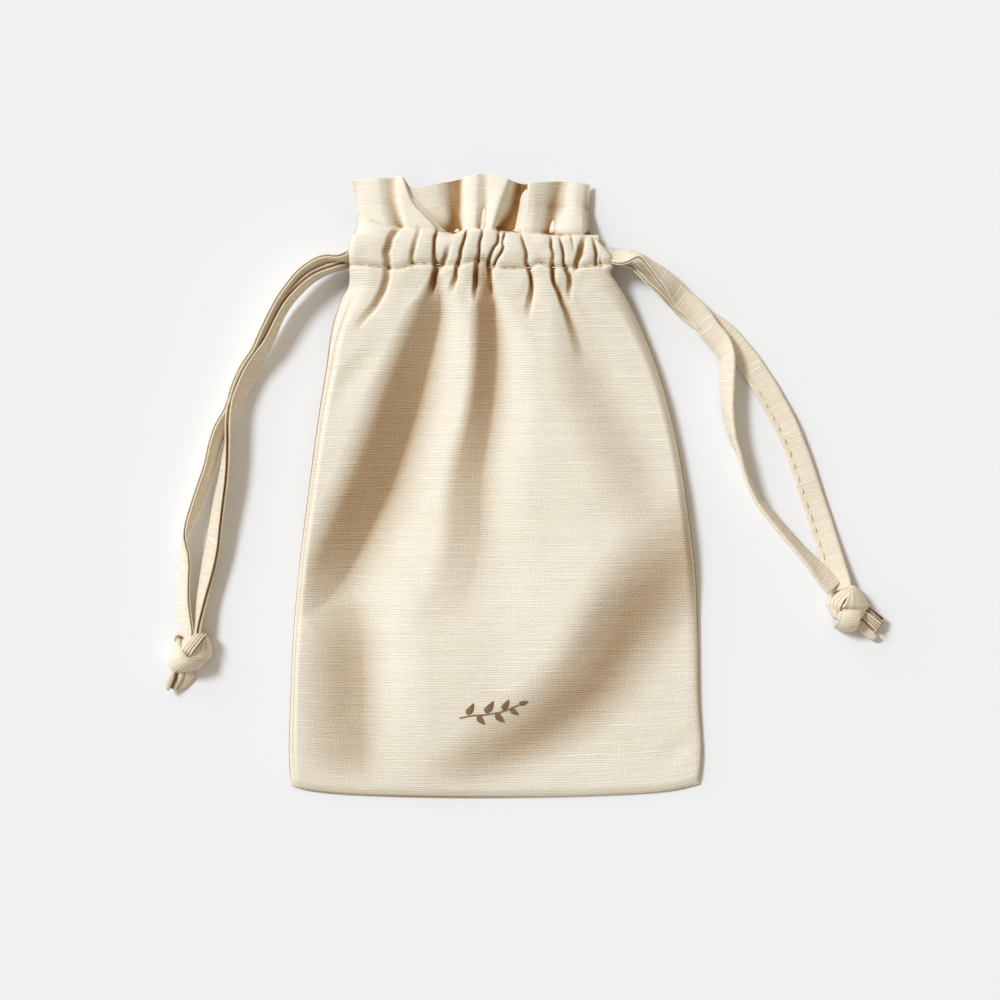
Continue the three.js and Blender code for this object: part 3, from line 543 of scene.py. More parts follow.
# Each knot has a round core of packed tape, the bands wrapped round it from the lowest to the
# uppermost, and its two cut ends
knots = {
    "left": {
        "core": {"x": 190.5, "y": 653.5, "z": 4.0, "size": (5.4, 4.9, 3.6)},
        "bands": (
            dict(railA=[(206.8, 661.4, 1.5), (211.5, 657.8, 0.6), (213.4, 652.5, 0.5), (212.2, 645, 0.5),
                        (209.8, 638.5, 0.8), (207.6, 633.2, 2.2)],
                 railB=[(194, 658.8, 6.2), (192.5, 655.5, 6.7), (195.5, 650.5, 6.9), (199, 645.5, 6.9),
                        (202.5, 640.0, 6.5), (205.2, 635.2, 5.6)], form="round",
                 pleats=((0.55, 0.25, 0.06), (0.8, 0.2, 0.05))),
            dict(railA=[(197.6, 631.2, 1.5), (196.6, 632.8, 6.0), (192.5, 637.2, 7.8),
                        (188.4, 641.8, 8.4), (184.9, 646.2, 8.2), (182.4, 649.8, 6.8)],
                 railB=[(208.6, 632.2, 1.5), (207.6, 634.2, 5.8), (203.8, 639.8, 7.8),
                        (199.7, 645.5, 8.5), (195.4, 651.4, 8.6), (192.0, 656.4, 7.2)], crown=0.35,
                 pleats=((0.28, 0.22, 0.05), (0.55, 0.3, 0.05), (0.8, 0.35, 0.045)), thick=1.0),
            dict(railA=[(178.6, 633.6, 1.5), (175.2, 642, 0.7), (171.4, 653, 0.4), (168.3, 662.5, 0.4),
                        (172.3, 670, 0.4), (179.5, 672.7, 0.4), (187, 671.6, 0.4), (193.5, 668.4, 0.5),
                        (200.5, 664.6, 0.8), (206.8, 661.2, 1.8)],
                 railB=[(179.8, 636.6, 6.0), (182.4, 643.2, 7.2), (185.6, 648.6, 8.4),
                        (187.8, 652.2, 9.0), (190, 655.2, 9.1), (192.7, 656.9, 9.0), (196, 658, 8.6),
                        (199.5, 658.9, 7.9), (203, 659.6, 6.8), (206.8, 660.4, 5.0)], form="round",
                 pleats=((0.94, 0.16, 0.03),), thick=1.1),
        ),
        "tails": (
            dict(railA=[(181, 668, 3.4), (173.6, 671.5, 4.6), (171.2, 677, 4.9), (169.2, 683.5, 4.4),
                        (167.7, 689.3, 3.6)],
                 railB=[(186, 664, 2.4), (191.5, 669, 2.2), (195.2, 675.2, 1.4), (190.4, 682, 1.1),
                        (184.2, 688.8, 0.9)],
                 pleats=((0.13, -0.25, 0.07), (0.30, 0.9, 0.08), (0.47, -0.2, 0.06), (0.62, 0.3, 0.05)),
                 thick=0.9),
            dict(railA=[(180, 668, 1.6), (176, 673, 1.6), (174, 680, 1.4), (172.6, 688.6, 1.2)],
                 railB=[(190, 667, 1.2), (192, 674, 0.9), (189, 683, 0.8), (181.5, 689.4, 0.8)],
                 thick=0.7),
        ),
    },
    "right": {
        "core": {"x": 846.5, "y": 606.0, "z": 4.2, "size": (5.2, 5.0, 3.8)},
        "bands": (
            dict(railA=[(849.5, 583.6, 2.2), (838.5, 589.6, 1.0), (828.4, 597, 0.5), (826.0, 603, 0.5),
                        (828.4, 610, 0.5), (832.4, 617.5, 0.7)],
                 railB=[(853.5, 587, 6.4), (846.5, 592.8, 8.3), (840.5, 599.5, 8.9), (837.8, 604.5, 8.9),
                        (836.8, 608.6, 8.2), (837.5, 612.5, 7.0)], form="round",
                 pleats=((0.36, 0.3, 0.035), (0.56, 0.4, 0.035), (0.76, 0.35, 0.035)), thick=1.1),
            dict(railA=[(852.2, 584.4, 2.5), (858.4, 588.8, 0.9), (863.2, 595.2, 0.6), (867, 601.5, 0.6),
                        (868.8, 606, 0.8), (867, 609.6, 1.6), (865, 609.8, 1.0)],
                 railB=[(847.5, 589, 7.4), (845.5, 592, 8.5), (843, 597.5, 9.3), (840.8, 602, 9.6),
                        (839.6, 604.4, 9.5), (838.6, 606.4, 8.8), (839, 607.4, 6.5)], form="round",
                 pleats=((0.9, 0.25, 0.03), (0.72, 0.12, 0.03)), thick=1.1),
            dict(railA=[(839.5, 604.5, 5.2), (837, 608.6, 7.2), (835.4, 614.5, 7.8), (833.8, 620.5, 7.2),
                        (832.4, 625, 5.4), (832.2, 626.6, 1.2)],
                 railB=[(858.8, 605.5, 4.6), (858.4, 609, 6.6), (857.6, 616, 7.2), (856.4, 623, 6.8),
                        (854.8, 628.6, 4.8), (853.4, 631.4, 1.0)], crown=0.8,
                 pleats=((0.12, 0.15, 0.04),), thick=1.2),
        ),
        "tails": (
            dict(railA=[(858, 606.5, 4.2), (863.4, 611.1, 4.7), (871.7, 617, 4.6), (880, 623.2, 4.0)],
                 railB=[(853, 612, 3.6), (859.8, 616.8, 4.1), (867.6, 624.2, 3.9), (875.8, 631.8, 3.2)],
                 pleats=((0.24, 0.55, 0.045), (0.5, 0.6, 0.045), (0.76, 0.55, 0.045)), thick=2.2),
            dict(railA=[(855, 613, 2.4), (859.6, 618.2, 2.8), (866.6, 626, 2.9), (877.4, 636, 2.2)],
                 railB=[(850, 623, 2.0), (855.6, 628, 2.2), (862, 634.4, 2.1), (872.6, 640.6, 1.5)],
                 crown=0.3, thick=1.3),
        ),
    },
}


def makeKnot(side, facts):
    body = side + "_drawstring"
    piece = bandObject(side + "_knot_wraps", facts["bands"], body, facts["core"])
    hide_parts(side + "_knot")
    tails = bandObject(side + "_knot_tails", facts["tails"], body)
    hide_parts(side + "_tail_1", side + "_tail_2")


# The stretches inside the casing, where the tape is folded to half its width. front and back are
# their heights, line their place up the pouch, near and far their two ends across it.
channel = {"width": 3.6, "thick": 2.0, "front": 7.4, "back": 1.9, "turnStart": 0.4, "turnReach": 3.4,
           "left": {"line": 67.2, "near": -41.6, "far": 27.0},
           "right": {"line": 71.2, "near": 30.1, "far": -36.0}}


def makeCasingTape(side):
    facts = channel[side]
    body = side + "_drawstring"
    for face in ("front", "back"):
        x = np.linspace(facts["near"], facts["far"], 90)
        middle = np.column_stack([x, np.full_like(x, facts["line"]), np.full_like(x, channel[face])])
        placeRibbon(side + "_" + face + "_casing_fold", middle, body, side + "_" + face + "_casing_tape")
    outward = 1 if side == "left" else -1
    turn = np.linspace(0, math.pi, 30)
    half = (channel["front"] - channel["back"]) / 2
    x = facts["far"] + outward * (channel["turnStart"] + channel["turnReach"] * np.sin(turn))
    z = channel["back"] + half + half * np.cos(turn)
    middle = np.column_stack([x, np.full_like(turn, facts["line"]), z])
    placeRibbon(side + "_far_turn", middle, "pouch", side + "_drawstring_far_bend")


def placeRibbon(name, middle, body, node):
    across = np.tile([0.0, 1.0, 0.0], (len(middle), 1))
    face = unit(np.cross(np.gradient(middle, axis=0), across))
    width = np.full(len(middle), channel["width"])
    mesh = ribbonMesh(name, middle, across, face, width, distances(middle), channel["thick"])
    piece = placeMesh(name, mesh, body, tapeCotton)
    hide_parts(node)


for side in ("left", "right"):
    makeKnot(side, knots[side])
for name, facts in strands.items():
    makeStrand(name, facts)
for side in ("left", "right"):
    makeCasingTape(side)
print("drawstrings are threaded and knotted")


# The outline of the cloth in the photograph: places on the left and right edge by height,
# and heights along the bottom and the top edge
outline = {
    "left": [(184, 353), (200, 357), (215, 358), (230, 358), (240, 353), (250, 350), (265, 350.5),
             (280, 350.5), (290, 348), (300, 342), (320, 334.5), (340, 330), (370, 326), (420, 318),
             (480, 310), (560, 300), (640, 293), (700, 290.5), (750, 289), (785, 291)],
    "right": [(186, 590), (200, 589), (215, 588), (232, 589), (240, 593), (246, 599), (255, 607),
              (262, 612), (268, 612.3), (275, 610), (280, 613), (286, 618), (300, 627), (320, 637.5),
              (340, 646.5), (360, 654.5), (380, 661), (400, 667), (440, 676.5), (480, 684), (540, 692),
              (580, 696), (640, 698), (700, 699), (750, 702), (783, 699)],
    "bottom": [(280, 783), (291, 785.5), (308, 790), (340, 793.5), (400, 796), (470, 797), (560, 796),
               (630, 793.5), (671, 790), (699, 783.5), (710, 781)],
    "top": [(350, 184.5), (357, 183.5), (370, 182), (388, 181), (401, 179.5), (405, 182), (409, 188),
            (413, 191.5), (424, 189.5), (438, 186), (452, 182.8), (470, 179), (486, 177), (498, 179.5),
            (508, 183), (526, 186), (545, 184.5), (560, 183), (575, 184), (592, 186.5)],
    "upperStitch": [(350, 222), (359, 221), (370, 223.5), (382, 228), (400, 231), (420, 231),
                    (437, 232.5), (452, 236.5), (466, 233), (483, 231.5), (500, 234), (512, 235),
                    (521, 236), (535, 236.5), (548, 238), (558, 239.5), (572, 238), (592, 238)],
    "lowerStitch": [(348, 267.5), (368, 268), (386, 270.5), (404, 270.5), (414, 267), (433, 266.5),
                    (446, 267.5), (459, 268), (471, 264.5), (481, 264), (490, 267), (500, 270.5),
                    (528, 270.5), (540, 266), (552, 270), (565, 270.5), (580, 270), (594, 268),
                    (614, 266)],
}


def edge(which, at):
    return valueOn(outline[which], at)


def edgeGaps(px, py):
    # How far each place lies inside the left, the right and the bottom edge, in mm
    gaps = px - edge("left", py), edge("right", py) - px, edge("bottom", px) - py
    return [gap * photo["pixelMm"] for gap in gaps]


def rowAcross(y, s):
    # Places from the left edge at s = 0 to the right edge at s = 1
    left, right = edge("left", y), edge("right", y)
    return left + (right - left) * s


# How the rows of both panels run, by place down the photograph: the lowest row, where rows stop
# following the curve of the bottom edge, where the casing's closer rows begin, and the ruffle. left
# and width are those of the bottom edge. The facing ends inside at its own height, is a little
# narrower there, and swells between two heights for the tapes.
rowPlan = {"bottom": 797, "left": 291, "width": 408, "curvedTo": 640, "casingFrom": 325, "ruffleFoot": 236,
           "ruffleTop": 184, "facingEnd": 271, "channelTop": 234, "channelEnd": 270, "facingNarrower": 0.03}

# Heights are in mm, by place down the photograph: of the side seams, and of the belly between the
# folds. The belly rises from each edge over its reach, and low beside each side seam it stays lower
# by its lack. The cloth is rolled at its rim, bulges between the casing's two stitch lines, and is
# pulled down along them: by a depth, over a reach above the line and one below it. The facing lies
# facingGap under the cloth, and at channelFloor where the tapes run. A noise has its cell, size and
# seed. creases and ruffleDepths give painted shade in the hollows, each with its reach in rows and
# columns, the depth at which it is full, and its share.
frontPanel = {
    "columns": 236, "bodyStep": 2.1, "casingStep": 1.1, "ruffleRows": 52,
    "seam": ((184, 5.6), (232, 6.4), (240, 8.2), (268, 8.2), (290, 4.8), (320, 1.9), (350, 0.9),
             (400, 0.8), (800, 0.8)),
    "crown": ((184, 10.6), (240, 10.6), (268, 10.6), (300, 9.9), (340, 9.6), (400, 9.7), (480, 9.9),
              (560, 10.0), (640, 9.8), (720, 9.0), (800, 8.4)),
    "leftReach": ((184, 9), (268, 9), (300, 8), (340, 5), (430, 3.5), (520, 3), (600, 2.6), (800, 2.6)),
    "rightReach": ((184, 9), (268, 8), (330, 4.6), (400, 3.2), (500, 2.9), (600, 3.2), (700, 4), (800, 6)),
    "bottomReach": 40.0, "leftLack": ((184, 0), (420, 0), (600, 0.1), (800, 0.15)),
    "rightLack": ((184, 0), (280, 0), (400, 0.05), (500, 0.25), (800, 0.3)), "lackReach": 34.0,
    "leftPower": 2.2, "rightPower": 1.8, "bottomPower": 1.8,
    "rimLeft": 1.5, "rimRight": 1.4, "rimBottom": 0.5, "rimRadius": 2.0, "rimBottomReach": 1.6,
    "foldRadius": 0.25, "foldRows": 5, "facingRows": 26, "facingGap": 0.5, "channelFloor": 5.6,
    "noise": ((22.0, 0.30, 3), (8.0, 0.09, 5)), "casingNoise": (3.6, 0.24, 9),
    "casingNoiseFrom": (226, 14), "casingNoiseTo": (285, 45), "casingBulge": 0.9, "casingRoundness": 0.7,
    "upperDip": (0.3, 3.0, 2.2), "lowerDip": (0.8, 4.0, 2.0), "casingLeft": 345,
    "bulgeFade": 12, "dipFade": 8, "ruffleBlend": 7, "lowestShare": 0.75,
    "creases": (8, 0.75, 1.0), "ruffleDepths": (30, 1.8, 0.9),
}

# The ruffle's folds: place and height of each along its top, middle and foot
ruffleLevels = (184, 208, 231)
ruffleFolds = (
    ((353, 5.6), (357, 6.6), (357, 7.8)),
    ((366, 6.4), (366, 7.4), (368, 9.0)),
    ((379, 7.2), (381, 7.9), (386, 9.8)),
    ((391, 6.0), (392.5, 6.7), (400.5, 8.2)),
    ((399, 7.2), (404, 9.0), (410, 10.2)),
    ((403.5, 8.4), (417.5, 9.6), (436.5, 10.6)),
    ((407.5, 6.8), (421, 7.6), (440, 7.2)),
    ((425, 6.2), (434, 6.9), (448, 6.2)),
    ((436, 5.6), (442, 6.1), (452, 5.6)),
    ((452, 3.0), (453, 3.9), (457, 5.2)),
    ((458, 3.1), (458, 4.1), (461, 6.8)),
    ((468, 6.8), (467, 7.6), (468, 9.8)),
    ((477, 7.8), (476, 8.4), (475, 10.2)),
    ((484.5, 7.1), (484.5, 7.3), (482, 7.4)),
    ((492, 7.8), (491, 8.6), (487, 9.8)),
    ((507, 8.8), (498, 9.6), (492, 10.4)),
    ((516, 5.0), (509, 6.0), (499, 7.0)),
    ((522, 3.6), (517, 4.2), (508, 6.0)),
    ((526.5, 3.9), (523.6, 4.6), (518, 7.0)),
    ((529, 7.4), (526.2, 8.6), (522.6, 10.0)),
    ((533, 7.2), (532, 8.3), (530, 10.2)),
    ((545, 5.6), (541, 6.6), (538, 9.2)),
    ((561, 2.6), (554, 3.6), (550, 6.4)),
    ((566, 2.9), (561, 4.0), (556, 7.8)),
    ((576, 3.6), (574, 5.2), (571, 9.0)),
    ((583, 3.2), (581, 4.6), (581, 8.4)),
    ((590, 2.1), (588, 2.4), (589, 5.4)),
)

# The belly's main folds, from the casing down. Each follows the line of its bottom. share is how much
# of the belly's height is lost there, or won on a crest, where it is negative. left and right are the
# width of its walls in mm, one value for each point of the path. sharp is 0 for a rounded bottom and
# 1 for a crisp one, and plane is 1 for a straight left wall. Where step is set, the belly stays down
# on the right of the fold. tint is how much painted shade its walls get: darker, warmer colour where
# light would come only from the cloth round it.
valleys = {
    "mainLeft": dict(
        path=[(437, 252), (438, 275), (439, 290), (441, 305), (440, 322), (434, 348), (428, 372),
              (421, 400), (412, 430), (402, 460), (391, 490), (376, 520), (361, 550), (344, 580),
              (328, 600), (306, 614)],
        share=[0.15, 0.4, 0.52, 0.6, 0.64, 0.66, 0.68, 0.7, 0.72, 0.72, 0.72, 0.7, 0.66, 0.54, 0.34, 0.1],
        left=[1.5, 2.2, 5, 9, 10.5, 12.5, 14, 15.5, 16, 16.5, 17, 16.5, 16, 14, 11, 8],
        right=[3, 4, 5, 6, 9, 13, 16, 18, 20, 22, 24, 25, 25, 24, 20, 14], sharp=0.4, plane=0.7, tint=0.6),
    "lowerLeft": dict(
        path=[(346, 572), (356, 610), (362, 650), (364, 700), (363, 750), (362, 800)],
        share=[0.1, 0.4, 0.58, 0.6, 0.55, 0.45],
        left=[12, 17, 20, 20, 20, 20],
        right=[14, 18, 20, 20, 20, 20], sharp=0.3, tint=0.42),
    "mainRight": dict(
        path=[(485, 262), (486, 278), (491, 292), (494, 305), (495, 320), (496, 340), (496, 360),
              (493, 400), (489, 430), (484, 460), (481, 490), (481, 520), (479, 550), (471, 582),
              (456, 610), (430, 636)],
        share=[0.25, 0.35, 0.42, 0.44, 0.44, 0.43, 0.42, 0.4, 0.36, 0.32, 0.28, 0.24, 0.18, 0.12, 0.06,
               0],
        left=[2.2, 3.2, 5.4, 7, 7.4, 8, 8.4, 9, 9.8, 11, 12, 13, 13, 13, 12, 12],
        right=[1.5, 2, 2.6, 4.5, 7, 10, 12, 14, 15, 15, 16, 17, 18, 18, 16, 14], sharp=0.2, plane=0.7,
        tint=0.62),
    "rightLong": dict(
        path=[(549, 262), (566, 285), (574, 312), (582, 342), (590, 370), (601, 400), (617, 430),
              (631, 460), (643, 490), (656, 520), (672, 556)],
        share=[0.05, 0.14, 0.26, 0.36, 0.42, 0.45, 0.45, 0.42, 0.34, 0.18, 0],
        left=[3, 5, 8, 11, 13, 14, 15, 15, 15, 14, 12],
        right=[3, 4, 5, 6, 7, 8, 9, 9, 9, 9, 9], step=True, tint=0.2),
    "lowerRight": dict(
        path=[(730, 500), (702, 518), (670, 545), (636, 578), (609, 610), (593, 640), (578, 670),
              (556, 700), (522, 730), (474, 764), (440, 800)],
        share=[0.5, 0.6, 0.7, 0.82, 0.86, 0.86, 0.86, 0.86, 0.8, 0.65, 0.5],
        left=[14, 15, 15, 13, 12, 12, 12, 12, 12, 12, 12],
        right=[20, 22, 24, 25, 25, 24, 22, 18, 15, 12, 11], step=True, tint=0.54),
    "middleCrest": dict(
        path=[(662, 528), (622, 566), (590, 602), (566, 640), (540, 676), (508, 706)],
        share=[0, -0.14, -0.2, -0.2, -0.14, 0],
        left=[14, 20, 24, 24, 20, 14],
        right=[9, 10, 10, 10, 10, 9]),
}

# The gathers, with their depth in mm as share: creases across the casing, which run on below it.
# Each also draws the cloth down a little over three times its width. tint is their painted shade,
# as for the belly's folds.
gatherShoulder = 0.18
gathers = {
    "gather391": dict(
        path=[(403, 229), (398, 236), (394, 242), (392, 249), (389.5, 256), (391, 264), (390, 272),
              (390, 280), (388, 287), (386, 293), (382, 301), (376, 311), (367, 321), (358, 333)],
        share=[0.4, 1.1, 1.3, 1.4, 1.4, 1.3, 1.2, 1.3, 1.3, 1.3, 1.2, 1.0, 0.6, 0],
        left=[2.3] * 14,
        right=[1.3] * 14, sharp=0.4, plane=0.6, tint=0.6),
    "gather416": dict(
        path=[(419, 214), (420, 226), (420, 236), (417.5, 244), (415.5, 251), (414, 258), (414, 265),
              (414, 272)],
        share=[0, 0.5, 0.6, 0.9, 1.1, 1.2, 0.8, 0],
        left=[1.4] * 8,
        right=[1.0] * 8, sharp=0.3, tint=0.6),
    "gather436": dict(
        path=[(438, 226), (438, 236), (436, 242), (435.5, 256), (437, 265), (438, 271), (436, 278),
              (435, 286), (434, 294), (435, 303)],
        share=[0.6, 1.6, 1.7, 1.7, 1.8, 2.1, 2.3, 2.0, 1.2, 0],
        left=[0.9, 0.9, 0.9, 1.0, 1.6, 1.4, 1.5, 1.8, 2.2, 2.6],
        right=[0.8, 0.8, 0.9, 0.9, 2.2, 2.2, 1.8, 1.8, 1.8, 2.0], sharp=0.7, plane=0.7, tint=1.0),
    "gather447": dict(
        path=[(452, 247), (449, 254), (447, 261), (443.5, 267), (441, 272)],
        share=[0, 0.8, 1.4, 1.2, 0.3],
        left=[1.6] * 5,
        right=[1.0] * 5, sharp=0.3, plane=0.5, tint=0.7),
    "gather462": dict(
        path=[(467.5, 228), (467, 236), (464.5, 246), (462, 254), (461.5, 261), (459, 267), (457.5, 274),
              (457, 281), (455, 288), (452, 297)],
        share=[0.5, 1.4, 1.5, 1.5, 1.6, 1.7, 1.5, 1.3, 0.9, 0],
        left=[0.8, 0.8, 0.9, 1.0, 1.2, 1.2, 1.2, 1.6, 2.0, 2.2],
        right=[0.6, 0.6, 0.6, 0.7, 0.7, 0.7, 0.7, 0.8, 1.0, 1.2], sharp=0.7, plane=0.7, tint=0.9),
    "gather480": dict(
        path=[(483.5, 228), (483, 236), (480.5, 246), (480, 256), (479, 264), (478, 271), (477, 278),
              (477, 286), (476.5, 294), (478, 305)],
        share=[0.5, 1.3, 1.5, 1.6, 1.7, 2.0, 2.5, 2.3, 1.4, 0],
        left=[0.8, 0.8, 0.9, 1.0, 1.8, 1.5, 1.4, 1.5, 1.6, 2.0],
        right=[0.6, 0.6, 0.6, 0.7, 1.0, 1.3, 1.5, 1.8, 2.0, 2.2], sharp=0.6, plane=0.7, tint=1.0),
    "gather490": dict(
        path=[(500, 229), (499, 238), (498, 246), (494, 252), (491.5, 258), (489.5, 265), (490.5, 272),
              (491.5, 280), (491.5, 290), (491, 303)],
        share=[0.5, 1.5, 1.5, 1.5, 1.7, 2.2, 2.3, 1.9, 1.1, 0],
        left=[0.8, 0.8, 0.9, 0.9, 1.0, 1.3, 1.5, 1.8, 2.0, 2.0],
        right=[0.6, 0.6, 0.6, 0.6, 0.7, 0.8, 0.8, 0.9, 1.2, 1.6], sharp=0.6, plane=0.7, tint=1.0),
    "gather503": dict(
        path=[(505, 229), (505, 237), (503, 245), (503.5, 251), (501.5, 256), (497.5, 262), (495, 267),
              (492, 273)],
        share=[0.8, 1.5, 1.1, 1.4, 1.5, 1.6, 1.6, 0.5],
        left=[0.7] * 8,
        right=[0.6] * 8, sharp=0.7, plane=0.5, tint=0.9),
    "gather527": dict(
        path=[(521, 228), (521.5, 238), (524, 248), (526.5, 256), (527, 264), (529, 271), (530.5, 278),
              (531.5, 286), (532, 293), (531, 301), (529.5, 310), (529, 322)],
        share=[0.6, 1.0, 1.3, 1.4, 1.5, 1.6, 2.1, 1.9, 1.5, 1.3, 0.8, 0],
        left=[0.8, 0.8, 0.9, 1.0, 1.4, 1.3, 0.9, 1.0, 1.5, 1.9, 1.9, 1.9],
        right=[0.6, 0.6, 0.6, 0.7, 0.8, 0.9, 1.0, 1.1, 1.1, 1.2, 1.3, 1.4], sharp=0.7, plane=0.6,
        tint=0.85),
    "gather553": dict(
        path=[(548, 232), (551, 241), (551, 250), (553, 258), (553, 266), (553, 274), (553, 281),
              (554.5, 287), (557.5, 293), (560.5, 300), (563.5, 307), (567, 314), (570, 322), (575, 335),
              (580, 350), (587, 372)],
        share=[0.6, 1.3, 1.5, 1.4, 1.5, 2.3, 2.3, 2.1, 2.0, 2.0, 1.8, 1.6, 1.4, 1.1, 0.8, 0],
        left=[0.8, 0.8, 0.9, 1.0, 1.6, 1.3, 1.1, 1.0, 1.0, 1.2, 1.5, 1.7, 2.1, 2.6, 3.2, 4.0],
        right=[0.6, 0.6, 0.6, 0.8, 0.8, 0.9, 1.1, 1.4, 2.7, 3.1, 3.3, 3.7, 4.4, 5.0, 6.0, 7.0], sharp=0.6,
        plane=0.6, tint=0.9),
    "gather563": dict(
        path=[(557, 233), (559.5, 242), (561.5, 250), (563, 258), (563.5, 266), (566, 272), (569.5, 278),
              (570, 286), (569, 295), (570, 306)],
        share=[0.5, 1.1, 1.4, 1.4, 1.5, 1.6, 1.5, 1.3, 0.8, 0],
        left=[0.7, 0.7, 0.8, 0.8, 0.9, 1.2, 1.6, 1.6, 1.6, 1.6],
        right=[0.6, 0.6, 0.6, 0.6, 0.7, 0.8, 0.8, 1.0, 1.2, 1.4], sharp=0.6, plane=0.6, tint=0.85),
    "gather572": dict(
        path=[(568, 231), (571, 241), (572.5, 249), (573, 257)],
        share=[0.6, 0.8, 0.5, 0],
        left=[0.8] * 4,
        right=[0.7] * 4, sharp=0.4, tint=0.5),
    "gather580": dict(
        path=[(585, 238), (583, 246), (581.5, 252), (580.5, 258), (578.5, 263), (576, 269), (574, 276)],
        share=[0.3, 1.1, 1.5, 1.6, 1.6, 1.3, 0],
        left=[1.6, 1.8, 2.0, 2.2, 2.0, 1.6, 1.2],
        right=[0.8, 0.8, 0.9, 1.0, 1.0, 0.9, 0.8], sharp=0.5, plane=0.6, tint=0.8),
    "gather595": dict(
        path=[(592, 238), (593.5, 246), (594.5, 252), (595.5, 258), (595, 264), (595.5, 271)],
        share=[0.3, 1.1, 1.4, 1.5, 1.3, 0],
        left=[0.9] * 6,
        right=[1.0] * 6, sharp=0.5, plane=0.5, tint=0.8),
    "gather600": dict(
        path=[(599, 259), (599.5, 266), (601, 273)],
        share=[0.3, 0.8, 0],
        left=[0.8] * 3,
        right=[0.8] * 3, tint=0.5),
}

# Other small folds, with their depth in mm as share; tint, where it is set, is their painted shade
folds = {
    "leftBand": dict(
        path=[(395, 335), (365, 365), (345, 392), (332, 420)],
        share=[0, 0.5, 0.5, 0],
        left=[5] * 4,
        right=[6] * 4),
    "sideBand": dict(
        path=[(690, 600), (675, 622), (650, 650)],
        share=[0.1, 0.3, 0],
        left=[8] * 3,
        right=[6] * 3),
    "corner": dict(
        path=[(660, 770), (676, 752), (694, 736)],
        share=[0, 0.25, 0.15],
        left=[4] * 3,
        right=[6] * 3),
    "leftSeam": dict(
        path=[(354, 300), (345, 322), (338, 345), (333, 372), (324, 422), (316, 480), (306, 560),
              (299, 640), (296, 700), (294.5, 750), (296, 780)],
        share=[0.1] + [0.35] * 9 + [0.1],
        left=[1.0] * 11,
        right=[0.9] * 11, sharp=0.3, tint=0.3),
}


def foldShare(x, y, path, share, left, right, sharp=0.0, plane=0.0, step=False, tint=0.0, shoulder=0.0):
    # x and y in mm; how far the cloth is pressed down there, and how much painted shade its colour
    # gets, where light would come only from the cloth round it: most on the broad left wall, which the
    # window doesn't reach
    px, py = fromPhoto(*np.asarray(path, float).T)
    line = smoothLine(np.column_stack([px, py, share, left, right]), 8)
    widest = max(max(left), max(right)) * (3 if shoulder else 1)
    reach = 1000 if step else widest  # a step goes on to the side seam
    near = (x > line[:, 0].min() - reach) & (x < line[:, 0].max() + reach)
    near &= (y > line[:, 1].min() - reach) & (y < line[:, 1].max() + reach)
    qx, qy = x[near], y[near]
    best = np.full(qx.shape, 1e9)
    signed = np.zeros(qx.shape)
    facts = np.zeros((3,) + qx.shape)
    for a, b in zip(line[:-1], line[1:]):
        ux, uy = b[0] - a[0], b[1] - a[1]
        span = ux * ux + uy * uy + 1e-12
        t = np.clip(((qx - a[0]) * ux + (qy - a[1]) * uy) / span, 0, 1)
        dx, dy = qx - a[0] - t * ux, qy - a[1] - t * uy
        far = dx * dx + dy * dy
        closer = far < best
        best[closer] = far[closer]
        # The paths run down the photograph, so the cross product is positive on their right
        signed[closer] = (np.sign(ux * dy - uy * dx) * np.sqrt(far))[closer]
        for k in range(3):
            facts[k][closer] = (a[2 + k] + (b[2 + k] - a[2 + k]) * t)[closer]
    depth, leftWidth, rightWidth = facts
    shade = tint * depth / max(np.abs(share))
    pressed, foldShade = np.zeros_like(x), np.zeros_like(x)
    if step:
        fallen = smoothStep((signed + leftWidth) / (leftWidth + rightWidth))
        pressed[near], foldShade[near] = depth * fallen, shade * 4 * fallen * (1 - fallen)
        return pressed, foldShade
    away = np.abs(signed) / np.maximum(np.where(signed > 0, rightWidth, leftWidth), 0.1)
    wide = np.cos(np.clip(away / 3, 0, 1) * math.pi / 2) ** 2
    away = np.clip(away, 0, 1)
    rounded = np.cos(away * math.pi / 2) ** 2
    leftWall = rounded * (1 - plane) + (1 - away) ** 1.25 * plane
    rightWall = rounded * (1 - sharp) + (1 - away) ** 2 * sharp
    wall = np.where(signed > 0, rightWall, leftWall)
    pressed[near] = depth * (wall * (1 - shoulder) + wide * shoulder)
    leftShade = smoothStep((1.25 + 1.5 * plane) * (1 - away))
    rightShade = (1 - np.minimum(2 * away, 1)) ** 2
    foldShade[near] = shade * np.where(signed > 0, rightShade, leftShade)
    return pressed, foldShade


def hollows(height, reach, depth, share, clear=0.14):
    # How far each place lies below the cloth round it, from 0 to its share at the given depth, which
    # is laid on as painted shade. The first part of the depth doesn't count, so that the open cloth stays
    # clear.
    weights = np.hanning(2 * reach + 3)[1:-1] / (reach + 1)
    calm = height
    for _ in range(2):  # along the rows, then along the columns
        padded = np.pad(calm, ((0, 0), (reach, reach)), mode="edge")
        calm = np.array([np.convolve(line, weights, mode="valid") for line in padded]).T
    return share * np.clip((calm - height) / depth - clear, 0, 1)


def ruffleHeight(px, py):
    heights = np.zeros_like(px)
    for k in range(px.shape[0]):
        level = np.clip(py[k].mean(), ruffleLevels[0], ruffleLevels[-1])
        points = []
        for fold in ruffleFolds:
            place = np.interp(level, ruffleLevels, [p[0] for p in fold])
            height = np.interp(level, ruffleLevels, [p[1] for p in fold])
            points.append((place, height))
        heights[k] = roundedCurve(np.array(points), px[k])
    return heights


